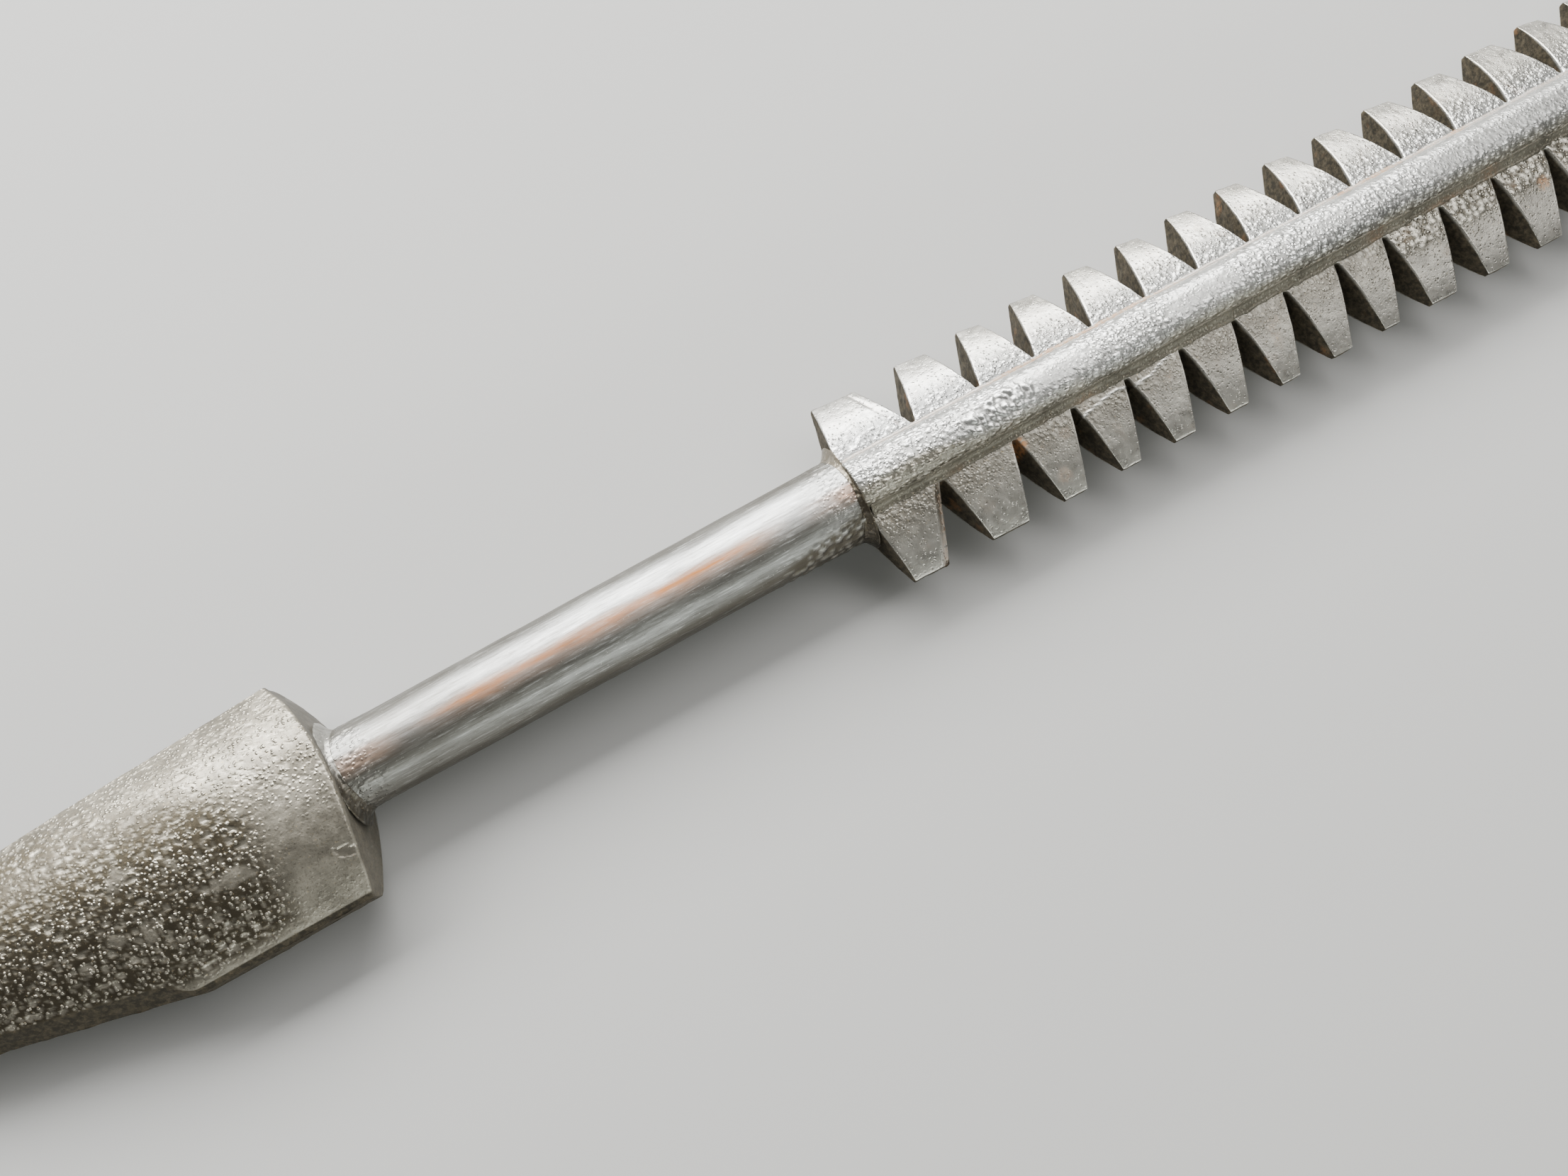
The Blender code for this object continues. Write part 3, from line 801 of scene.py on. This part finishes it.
def make_neck(name):
    """Tapered round bar with faint lengthwise ripples and crusted ends."""
    mesh = neck_mesh(name)
    base = Surface(mesh)
    x, y = base.x, base.y
    crust = ramp(1.0 * MM, -1.0 * MM, y + 5.2 * MM - 0.14 * x)
    crust = crust * ramp(-27.0 * MM, -18.0 * MM, x)
    at_head = ramp(-110.0 * MM, -118.0 * MM, x)
    at_rack = ramp(-14.0 * MM, -3.0 * MM, x)
    at_ends = np.maximum(at_rack, at_head)
    arc = NECK_RADIUS_AT_RACK * np.arctan2(y, base.z)
    lumps = droplets(arc, x, 51, NECK_LUMPS)
    beads = droplets(arc, x, 54, NECK_BEADS)
    base.raise_relief(
        NECK_RELIEF,
        ripple=base.noise(2.6 * MM, 61, 0.12),
        swell=base.noise(18.0 * MM, 64),
        lump=lumps * np.maximum(crust, 0.35 * at_head),
        bead=beads * at_ends,
    )
    write_masks(
        mesh,
        bead=np.maximum(lumps * np.maximum(crust, 0.5 * at_head), beads * at_ends),
        wet=at_ends * (1.0 - crust),
        # Crust between the lumps, painted shade along both feet and a darker end towards the head.
        gap=np.maximum(crust * (1.0 - 0.9 * lumps), neck_foot_shade_and_dark_end(x, y)),
        # Painted shade on the neck's right side, its left foot and its underside.
        shade=np.maximum(neck_painted_shade(y), ramp(0.0, -0.4, base.normals[:, 2])),
        rust=rust_streak(base),
    )
    return mesh


# ---- head


def head_section(share, across):
    """Upper outline of the head at a share of its length, as y and z."""
    nose = HEAD_NOSE_ROUND * math.sqrt(1.0 - share ** 2)
    left = HEAD_LEFT * min(1.0 - HEAD_LEFT_TAPER * share, nose)
    right = HEAD_RIGHT * min(1.0, 1.0 - HEAD_RIGHT_TAPER * (share - HEAD_KNEE), nose)
    crest = HEAD_HALF_THICKNESS * (1.0 - share ** 2.4) ** 0.6
    edge = min(HEAD_EDGE_HALF * (1.0 - share ** 3) ** 0.5, crest)
    y = 0.5 * (left - right) + 0.5 * (left + right) * across
    middle = min(HEAD_CREST, 0.5 * left)
    left_run = (y - middle) / (left - middle)
    right_run = (middle - y) / (right + middle)
    from_crest = np.clip(np.where(y > middle, left_run, right_run), 0.0, 1.0)
    z = edge + (crest - edge) * (1.0 - from_crest ** HEAD_CROWN)
    return y, z - facet_depth(share, y + right)


def facet_depth(share, from_edge):
    """Depth of the facet along the head's right edge, which is widest beyond the knee."""
    opening = ramp(FACET_START, FACET_START + FACET_START_RUN, share)
    opening = opening * ramp(FACET_END, FACET_END - FACET_END_RUN, share)
    width = FACET_NARROW + (FACET_WIDTH - FACET_NARROW) * opening
    return FACET_DROP * np.clip(1.0 - from_edge / width, 0.0, 1.0) * width / FACET_WIDTH


def head_rows():
    """Sections of the head's upper face from the swept shoulder to the nose."""
    across = -np.cos(np.linspace(0.0, math.pi, HEAD_COLUMNS + 1))
    left_sweep = HEAD_LEFT_SWEEP * np.clip(across, 0.0, 1.0) ** HEAD_LEFT_SWEEP_POWER
    right_sweep = HEAD_RIGHT_SWEEP * np.clip(-across, 0.0, 1.0) ** HEAD_RIGHT_SWEEP_POWER
    rows = []
    for station in range(HEAD_STATIONS + 1):
        share = NOSE_CUT * math.sin(0.5 * math.pi * station / HEAD_STATIONS)
        y, z = head_section(share, across)
        sweep = (left_sweep + right_sweep) * (1.0 - share / NOSE_CUT)
        x = HEAD_FACE_X - sweep - HEAD_LENGTH * share
        rows.append(grid(x, y, z))
    return np.array(rows)


def head_mesh(name):
    """Both faces of the head, closed by walls along its edges, shoulder and nose."""
    top = head_rows()
    skin = Skin()
    skin.sheet(top)
    skin.sheet(top * np.array([1.0, 1.0, -1.0]))
    levels = np.linspace(1.0, -1.0, HEAD_WALL_LEVELS)
    for edge in (top[:, 0], top[:, -1], top[0], top[-1]):
        wall = np.repeat(edge[:, None], len(levels), axis=1)
        wall[:, :, 2] *= levels
        skin.sheet(wall)
    mesh = skin.mesh(name)
    relax(mesh, 2)
    return mesh


def head_bare(base, run_back, cloud):
    """Bare share of the head: small patches, the face beside the neck and the right edge."""
    patches = 0.8 * ramp(0.50, 0.85, base.noise(5.0 * MM, 79))
    beside_neck = 1.0 - ramp(14.0 * MM, 24.0 * MM, run_back - 6.0 * MM * cloud)
    beside_neck = 0.9 * beside_neck * ramp(6.0 * MM, -2.0 * MM, base.y)
    right_edge = ramp(-21.5 * MM, -24.5 * MM, base.y + 1.5 * MM * cloud)
    return np.maximum(np.maximum(patches, beside_neck), right_edge)


def head_chip_and_rim_highlight(base, run_back):
    """Pale share of the head: the small chip, and a painted highlight along its shoulder's rounded
    edge.
    """
    chip = np.hypot((base.x - CHIP_X) / CHIP_STRETCH, base.y - CHIP_Y)
    chip = 1.0 - ramp(0.9 * MM, 1.3 * MM, chip + 0.6 * MM * base.noise(1.6 * MM, 89))
    turn = ramp(0.97, 0.85, base.flatness) * ramp(0.30, 0.50, base.normals[:, 2])
    rim_highlight = turn * ramp(24.0 * MM, 14.0 * MM, run_back) * (base.y > -18.0 * MM)
    return np.maximum(chip, rim_highlight)


def head_facet(base, run_back):
    """Share of the facet along the head's right edge, which is given painted shade."""
    steep = ramp(0.88, 0.70, base.flatness)
    steep = steep * ramp(3.0 * MM, 6.0 * MM, run_back)
    return steep * ramp(2.0 * MM, -4.0 * MM, base.y)


def make_head(name):
    """Blade-shaped head covered in raised glossy droplets, brown with painted shade on its right
    side.
    """
    mesh = head_mesh(name)
    base = Surface(mesh)
    x, y = base.x, base.y
    run_back = HEAD_FACE_X - x
    upright = 1.0 - ramp(0.20, 0.55, base.flatness)
    cloud = base.noise(13.0 * MM, 77)
    bare = head_bare(base, run_back, cloud)
    # Brown patina with painted shade on the head's right side, up to the boundary.
    boundary = np.interp(run_back, DARK_FROM, DARK_UPTO)
    brown_and_shaded_side = ramp(6.0 * MM, -4.0 * MM, y - boundary + 2.0 * MM * cloud)
    facet = head_facet(base, run_back)
    # Pale chip, and a painted highlight along the shoulder's rounded edge.
    worn = head_chip_and_rim_highlight(base, run_back)
    cover = (1.0 - 0.85 * bare * (0.4 + 0.6 * brown_and_shaded_side)) * (1.0 - upright) * (1.0 - facet)
    fine = droplets(y, x, 71, FINE_DROPS)
    coarse = droplets(y, x, 74, COARSE_DROPS)
    bead = np.maximum(0.5 * fine, 0.8 * coarse * brown_and_shaded_side) * cover
    base.raise_relief(
        HEAD_RELIEF,
        bead=bead,
        swell=base.noise(22.0 * MM, 81),
        grain=base.noise(1.8 * MM, 84),
        sawn=upright * base.noise(3.5 * MM, 86),
    )
    # A band on the right side is given the flank tone as painted shade.
    matt = ramp(-1.0 * MM, 5.0 * MM, y) * ramp(16.0 * MM, 11.0 * MM, y)
    # The facet takes the dark sawn tone as painted shade, the shoulder walls partly as painted
    # shade.
    rough = np.maximum(0.6 * upright, 0.9 * facet)
    write_masks(
        mesh,
        bead=np.maximum(bead, worn),
        # More gap and shade on the right side: brown patina with painted shade.
        wet=cover * (1.0 - brown_and_shaded_side * (0.15 + 0.25 * ramp(0.0, 7.0 * MM, y))),
        gap=np.maximum((0.45 + 0.55 * brown_and_shaded_side) * (1.0 - 0.9 * bare), facet) * (1.0 - worn),
        flank=np.maximum(rough, 0.35 * brown_and_shaded_side * matt),
        shade=np.maximum(brown_and_shaded_side * (0.85 + 0.15 * cloud) * (1.0 - 0.5 * worn), base.under),
    )
    return mesh


# ---- welds


def ring_weld_mesh(name, face_x, direction, inner, crown, side_crown, leg, side_leg):
    """Smooth concave fillet round the neck, closed underneath."""
    turns = np.linspace(0.0, 2.0 * math.pi, RING_AROUND, endpoint=False)
    at_side = np.sin(turns) ** 2
    outer = crown + (side_crown - crown) * at_side
    reach = leg + (side_leg - leg) * at_side
    rows = []
    for share in np.linspace(0.0, 1.0, RING_PROFILE):
        radius = inner + (outer - inner) * (1.0 - share) ** 2.0 + WELD_SKIN
        x = face_x + direction * reach * share
        rows.append(grid(x, radius * np.sin(turns), radius * np.cos(turns)))
    low = inner - WELD_DEPTH
    for x in (face_x + direction * reach, face_x):
        rows.append(grid(x, low * np.sin(turns), low * np.cos(turns)))
    rows.append(rows[0])
    skin = Skin()
    skin.sheet(np.array(rows), wrap=True)
    return skin.mesh(name)


def make_ring_weld(name, inner, seed, **sizes):
    """Lumpy concave fillet round the neck, thin over the top and wider at the sides."""
    mesh = ring_weld_mesh(name, inner=inner, **sizes)
    base = Surface(mesh)
    radius = np.hypot(base.y, base.z)
    outside = ramp(inner - 0.3 * MM, inner + 0.2 * MM, radius)
    arc = inner * np.arctan2(base.y, base.z)
    bead = droplets(arc, base.x, seed, WELD_BEADS)
    swell = base.noise(3.0 * MM, seed + 1)
    base.raise_relief(WELD_RELIEF, fade=outside, bead=bead, swell=swell)
    # Brown patina with painted shade towards the right side, as on the rest of the bar.
    right_side = ramp(3.0 * MM, -6.0 * MM, base.y)
    write_masks(
        mesh,
        bead=0.4 * bead,
        wet=0.4,
        gap=0.35 + 0.55 * right_side,
        shade=0.15 + 0.8 * right_side,
    )
    return mesh


def seam_rows(row, level):
    """Grid of the seam fillet: a hollow corner whose legs swell and shrink along the rack."""
    stations = np.linspace(1.0 * MM, RACK_LENGTH - 1.0 * MM, SEAM_STATIONS)
    course = grid(stations, 0.0, 0.0)
    seed = row["seed"] + 40
    wander = lattice_noise(course, 5.0 * MM, seed)
    swell = lattice_noise(course, 1.6 * MM, seed + 1)
    size = (row["seam_leg"] * (1.0 + 0.10 * wander + 0.10 * swell))[:, None]
    share = np.linspace(0.0, 1.0, SEAM_PROFILE)
    across = np.concatenate([share ** SEAM_HOLLOW, [0.9, -0.3, -0.3]])
    above = np.concatenate([(1.0 - share) ** SEAM_HOLLOW, [-0.25, -0.25, 0.9]])
    y = row["side"] * (SPINE_HALF - SEAM_SKIN + size * across)
    z = level * (WING_ROOT_HALF + SEAM_SKIN + size * above)
    return grid(stations[:, None], y, z)


def make_seam_weld(name, row, level):
    """Hollow fillet in the corner between the spine and a strip, with tan patches."""
    mesh = tube_mesh(name, seam_rows(row, level), 2)
    base = Surface(mesh)
    tan = ramp(0.25, 0.8, base.noise(9.0 * MM, row["seed"] + 43, 0.4))
    for middle in TAN_PATCHES:
        tan = np.maximum(tan, np.exp(-((base.x - middle) / TAN_PATCH_HALF) ** 2))
    if row["side"] > 0.0:
        write_masks(mesh, shade=0.25 + 0.3 * tan, rust=0.16 + 0.40 * tan, wet=0.3)
    else:
        # The right seams are brown patina with painted shade, like the right strip.
        write_masks(mesh, shade=1.0, gap=0.30, wet=0.5, rust=0.2 * tan)
    return mesh


# ---- materials


class Shader:
    """Adds and links the nodes of one material. A value is a constant or another node's socket."""

    def __init__(self, name):
        self.material = bpy.data.materials.new(name)
        self.material.use_nodes = True
        self.tree = self.material.node_tree
        self.principled = self.tree.nodes["Principled BSDF"]
        self.coordinates = self.node("TexCoord").outputs["Object"]

    def feed(self, socket, value):
        if isinstance(value, bpy.types.NodeSocket):
            self.tree.links.new(value, socket)
        else:
            socket.default_value = value

    def node(self, kind, **values):
        """Add a node and feed its named sockets, where _ stands for a space."""
        node = self.tree.nodes.new("ShaderNode" + kind)
        for name, value in values.items():
            self.feed(node.inputs[name.replace("_", " ")], value)
        return node

    def mask(self, name):
        node = self.node("Attribute")
        node.attribute_name = name
        return node.outputs["Fac"]

    def noise(self, cell, detail=3.0, stretch=(1.0, 1.0, 1.0), roughness=0.55):
        """Noise with features about cell metres across, stretched by a factor for each axis."""
        scale = [1.0 / (cell * factor) for factor in stretch]
        mapping = self.node("Mapping", Vector=self.coordinates, Scale=scale)
        look = dict(Scale=1.0, Detail=detail, Roughness=roughness)
        return self.node("TexNoise", Vector=mapping.outputs["Vector"], **look).outputs["Fac"]

    def span(self, value, low, high, out_low=0.0, out_high=1.0):
        """Remap a value from low..high to out_low..out_high, clamped."""
        limits = dict(From_Min=low, From_Max=high, To_Min=out_low, To_Max=out_high)
        return self.node("MapRange", Value=value, **limits).outputs["Result"]

    def math(self, operation, *values, kind="Math"):
        node = self.node(kind)
        node.operation = operation
        for socket, value in zip(node.inputs, values):
            self.feed(socket, value)
        return node.outputs[0]

    def times(self, first, second):
        return self.math("MULTIPLY", first, second)

    def mix(self, share, first, second):
        """Mix two colours, each a tuple or a socket."""
        node = self.node("Mix", Factor=share)
        node.data_type = "RGBA"
        for socket, value in ((node.inputs[6], first), (node.inputs[7], second)):
            self.feed(socket, (*value, 1.0) if isinstance(value, tuple) else value)
        return node.outputs[2]

    def bump(self, height, distance, **below):
        """Bump up to distance metres high, over the Normal of another one if that is given."""
        node = self.node("Bump", Height=height, Distance=distance, Strength=1.0, **below)
        return node.outputs["Normal"]

    def wobbled(self, cell):
        """Coordinates that wander by about half a cell, which makes a pattern uneven."""
        wobble = self.node("TexNoise", Scale=0.6 / cell, Vector=self.coordinates)
        centred = self.math("SUBTRACT", wobble.outputs["Color"], (0.5, 0.5, 0.5), kind="VectorMath")
        reach = (0.9 * cell, 0.9 * cell, 0.9 * cell)
        return self.math("MULTIPLY_ADD", centred, reach, self.coordinates, kind="VectorMath")

    def spots(self, cell, reach):
        """Round spots about cell metres apart: 1 on top of a spot and 0 between spots."""
        cells = self.node("TexVoronoi", Scale=1.0 / cell, Vector=self.wobbled(cell))
        dome = self.span(cells.outputs["Distance"], reach, 0.1 * reach)
        dome.node.interpolation_type = "SMOOTHSTEP"
        return dome

    def finish(self, **values):
        """Feed the principled node, where _ stands for a space, and return the material."""
        for name, value in values.items():
            self.feed(self.principled.inputs[name.replace("_", " ")], value)
        self.feed(self.principled.inputs["Coat Normal"], values["Normal"])
        self.principled.inputs["Specular IOR Level"].default_value = SPECULAR_LEVEL
        self.principled.inputs["Coat Roughness"].default_value = COAT_ROUGHNESS
        return self.material


def tinted(colour, factor):
    return tuple(factor * part for part in colour)


def face_tone(mat, silver, brown, gap_and_shade_tone):
    """Cloudy silver or brown, with lengthwise lines where a silver face has few spots."""
    shade = mat.mask("shade")
    cloud = mat.span(mat.noise(7.0 * MM, 5.0), 0.35, 0.65)
    silver_tone = mat.mix(cloud, tinted(silver, 0.84), silver)
    brown_tone = mat.mix(cloud, tinted(brown, 0.66), tinted(brown, 1.12))
    # The shade mask mixes in brown: brown patina together with painted shade.
    tone = mat.mix(shade, silver_tone, brown_tone)
    lines = mat.span(mat.noise(0.45 * MM, 4.0, LINE_STRETCH, 0.7), 0.52, 0.38)
    few_spots = mat.span(mat.mask("wet"), 0.2, 0.7, 0.45, 0.0)
    silvery = mat.span(shade, 0.3, 0.9, 1.0, 0.15)
    return mat.mix(mat.times(lines, mat.times(few_spots, silvery)), tone, gap_and_shade_tone)


def drop_tone(mat, tone, drop, gap_and_shade_tone, pale):
    """Paler drops with a painted highlight on their tops, weaker on the shaded side, and darker gaps
    between them.
    """
    shade = mat.mask("shade")
    between = mat.math("SUBTRACT", 1.0, mat.span(drop, 0.0, 0.55))
    tone = mat.mix(mat.times(between, mat.mask("gap")), tone, gap_and_shade_tone)
    # Painted highlight: the drop tops are mixed towards the pale colour, less on the shaded side.
    pale_drop_and_highlight = mat.times(mat.span(drop, 0.2, 0.9), mat.span(shade, 0.0, 1.0, 0.70, 0.50))
    return mat.mix(pale_drop_and_highlight, tone, mat.mix(shade, pale, TAN_PALE))


def sawn_tone(mat, tone):
    """Tan flecks on brown faces, and blotchy dark brown on the rough sawn flanks."""
    fleck = mat.span(mat.noise(0.6 * MM, 4.0, roughness=0.7), 0.62, 0.70, 0.0, 0.75)
    tone = mat.mix(mat.times(fleck, mat.mask("shade")), tone, TAN)
    blotch = mat.span(mat.noise(1.2 * MM, 6.0, roughness=0.75), 0.42, 0.68)
    sawn = mat.mix(blotch, FLANK_DARK, FLANK_LIGHT)
    return mat.mix(mat.mask("flank"), tone, sawn)


def weathered_metal(name, silver, brown, roughness, spot_cell, reach, pale=PALE, pits=0.0):
    """Silver face worn to brown, with glossy spots, darker gaps between them and sawn flanks."""
    mat = Shader(name)
    # The gap tone is also painted shade on the head's facet and its shaded side.
    gap_and_shade_tone = mat.mix(mat.mask("shade"), tinted(silver, 0.30), GAP_AND_SHADE_DARK)
    spot = mat.times(mat.spots(spot_cell, reach), mat.mask("wet"))
    drop = mat.math("MAXIMUM", spot, mat.mask("bead"))
    pit = mat.times(mat.spots(1.3 * spot_cell, 0.36), mat.mask("wet"))
    speckle = mat.noise(0.45 * MM, 3.0, roughness=0.7)
    tone = face_tone(mat, silver, brown, gap_and_shade_tone)
    tone = mat.mix(mat.span(speckle, 0.47, 0.30, 0.0, 0.6), tone, gap_and_shade_tone)
    tone = drop_tone(mat, tone, drop, gap_and_shade_tone, pale)
    tone = mat.mix(mat.span(pit, 0.1, 0.6, 0.0, pits), tone, gap_and_shade_tone)
    tone = sawn_tone(mat, tone)
    rust_cloud = mat.span(mat.noise(1.0 * MM, 5.0), 0.34, 0.56)
    rust = mat.times(mat.mask("rust"), rust_cloud)
    matt = mat.math("ADD", mat.times(mat.mask("flank"), 0.25), mat.times(rust, 0.2))
    rough_cloud = mat.noise(2.5 * MM, 4.0)
    rough = mat.span(rough_cloud, 0.3, 0.7, roughness - 0.06, roughness + 0.08)
    rough = mat.math("SUBTRACT", rough, mat.times(drop, 0.16))
    relief = mat.math("SUBTRACT", drop, mat.times(pit, 0.8 * pits))
    normal = mat.bump(relief, 0.20 * spot_cell)
    normal = mat.bump(speckle, 0.04 * MM, Normal=normal)
    return mat.finish(
        Base_Color=mat.mix(rust, tone, RUST),
        Roughness=mat.math("ADD", rough, matt),
        Metallic=mat.span(matt, 0.0, 0.25, 0.92, 0.35),
        Normal=normal,
        Coat_Weight=mat.span(matt, 0.0, 0.2, 0.25, 0.0),
    )


def drawn_tone(mat, lines):
    """Satin grey, with painted shade under the shade mask, and dark and bright lengthwise lines and
    specks.
    """
    cloud = mat.span(mat.noise(5.0 * MM, 5.0, stretch=(3.0, 1.0, 1.0)), 0.3, 0.7)
    grey = mat.mix(cloud, DRAWN_DARK, DRAWN_LIGHT)
    painted_shade_tone = mat.mix(cloud, PAINTED_SHADE_DARK, PAINTED_SHADE_LIGHT)
    tone = mat.mix(mat.mask("shade"), grey, painted_shade_tone)
    tone = mat.mix(mat.span(lines, 0.50, 0.36, 0.0, 0.50), tone, LINE_DARK)
    tone = mat.mix(mat.span(lines, 0.56, 0.66, 0.0, 0.45), tone, BRIGHT)
    specks = mat.span(mat.noise(0.6 * MM, 3.0, roughness=0.7), 0.66, 0.72, 0.0, 0.8)
    return mat.mix(specks, tone, PALE)


def drawn_metal(name):
    """Satin drawn bar with lengthwise lines, crusted ends and an orange-brown worn streak."""
    mat = Shader(name)
    lines = mat.noise(0.50 * MM, 4.0, DRAWN_STRETCH, 0.75)
    spot = mat.times(mat.spots(0.9 * MM, 0.50), mat.mask("wet"))
    drop = mat.math("MAXIMUM", spot, mat.mask("bead"))
    tone = drawn_tone(mat, lines)
    tone = mat.mix(mat.times(drop, 0.30), tone, PALE)
    # The gap mask darkens the crust, paints shade along the feet and darkens the end towards the
    # head.
    tone = mat.mix(mat.times(mat.mask("gap"), 0.9), tone, GAP_AND_SHADE_DARK)
    streaks = mat.noise(0.6 * MM, 5.0, (8.0, 1.0, 1.0), 0.7)
    rust = mat.times(mat.mask("rust"), mat.span(streaks, 0.34, 0.58, 0.7, 1.0))
    rough_cloud = mat.noise(2.0 * MM, 4.0, stretch=(6.0, 1.0, 1.0))
    rough = mat.span(rough_cloud, 0.3, 0.7, 0.44, 0.54)
    ripple = mat.noise(0.6 * MM, 4.0, stretch=(3.0, 1.0, 1.0))
    normal = mat.bump(lines, 0.015 * MM)
    normal = mat.bump(ripple, 0.02 * MM, Normal=normal)
    normal = mat.bump(drop, 0.14 * MM, Normal=normal)
    return mat.finish(
        Base_Color=mat.mix(rust, tone, COPPER),
        Roughness=mat.math("SUBTRACT", rough, mat.times(drop, 0.16)),
        Metallic=mat.span(rust, 0.0, 1.0, 0.95, 0.35),
        Normal=normal,
        Coat_Weight=mat.span(rust, 0.0, 0.5, 0.2, 0.0),
    )


# ---- stage


def bar_point(x, y, z):
    return ORIGIN + Vector((x, y, z)) * MM


def add_camera():
    """Camera that looks from its place to its target, turned about its line of sight."""
    ahead = (CAMERA_TARGET - CAMERA_PLACE).normalized()
    right = ahead.cross(Vector((0.0, 1.0, 0.0))).normalized()
    up = right.cross(ahead)
    rolled_up = math.cos(CAMERA_ROLL) * up + math.sin(CAMERA_ROLL) * right
    rolled_right = ahead.cross(rolled_up)
    turn = Matrix((rolled_right, rolled_up, -ahead)).transposed().to_4x4()
    data = bpy.data.cameras.new("camera")
    data.lens = CAMERA_LENS_MM
    data.sensor_width = CAMERA_SENSOR_MM
    data.clip_start = 0.01
    camera = add_object("camera", data)
    camera.matrix_world = Matrix.Translation(ORIGIN + CAMERA_PLACE) @ turn
    bpy.context.scene.camera = camera


def add_softbox(name, spot, size, power, colour):
    """Area light at a place in millimetres, aimed at the bar."""
    data = bpy.data.lights.new(name, "AREA")
    data.shape = "RECTANGLE"
    data.size = size[0]
    data.size_y = size[1]
    data.energy = power
    data.color = colour
    light = add_object(name, data)
    light.location = bar_point(*spot)
    aim = bar_point(*SOFTBOX_AIM) - light.location
    light.rotation_euler = aim.to_track_quat("-Z", "Y").to_euler()


def add_floor():
    """Plain pale floor at z = 0."""
    mesh = bpy.data.meshes.new("floor")
    corners = [(-1.0, -1.0), (1.0, -1.0), (1.0, 1.0), (-1.0, 1.0)]
    mesh.from_pydata([(FLOOR_HALF * x, FLOOR_HALF * y, 0.0) for x, y in corners], [], [(0, 1, 2, 3)])
    material = bpy.data.materials.new("floor")
    material.use_nodes = True
    shader = material.node_tree.nodes["Principled BSDF"]
    shader.inputs["Base Color"].default_value = FLOOR_COLOUR
    shader.inputs["Roughness"].default_value = 0.95
    shader.inputs["Specular IOR Level"].default_value = 0.2
    mesh.materials.append(material)
    floor = add_object("floor", mesh)


def add_sky():
    """Faint even light from all round."""
    world = bpy.data.worlds.new("world")
    world.use_nodes = True
    background = world.node_tree.nodes["Background"]
    background.inputs["Color"].default_value = SKY_COLOUR
    background.inputs["Strength"].default_value = SKY_STRENGTH
    bpy.context.scene.world = world


def build():
    add_camera()
    add_floor()
    add_sky()
    for light in SOFTBOXES:
        add_softbox(*light)
    metals = {name: weathered_metal(name, *look) for name, look in METALS.items()}
    place(make_head("head_skin"), metals["head_metal"], "head")
    place(make_neck("neck_skin"), drawn_metal("neck_metal"), "neck_rod")
    place(make_spine("spine_skin"), metals["spine_metal"], "spine_bar")
    for side, row in (("left", LEFT_ROW), ("right", RIGHT_ROW)):
        strip = make_strip("rack_skin_" + side, row)
        place(strip, metals["rack_metal"], "rack_strip_" + side)
        for end, level in (("top", 1.0), ("bottom", -1.0)):
            seam = make_seam_weld(f"seam_{side}_{end}", row, level)
            place(seam, metals["seam_metal"], f"seam_weld_{side}_{end}")
    shoulder = make_ring_weld("shoulder_fillet", **SHOULDER_WELD)
    place(shoulder, metals["crust_metal"], "shoulder_weld")
    collar = make_ring_weld("head_fillet", **HEAD_WELD)
    place(collar, metals["collar_metal"], "head_weld")


build()
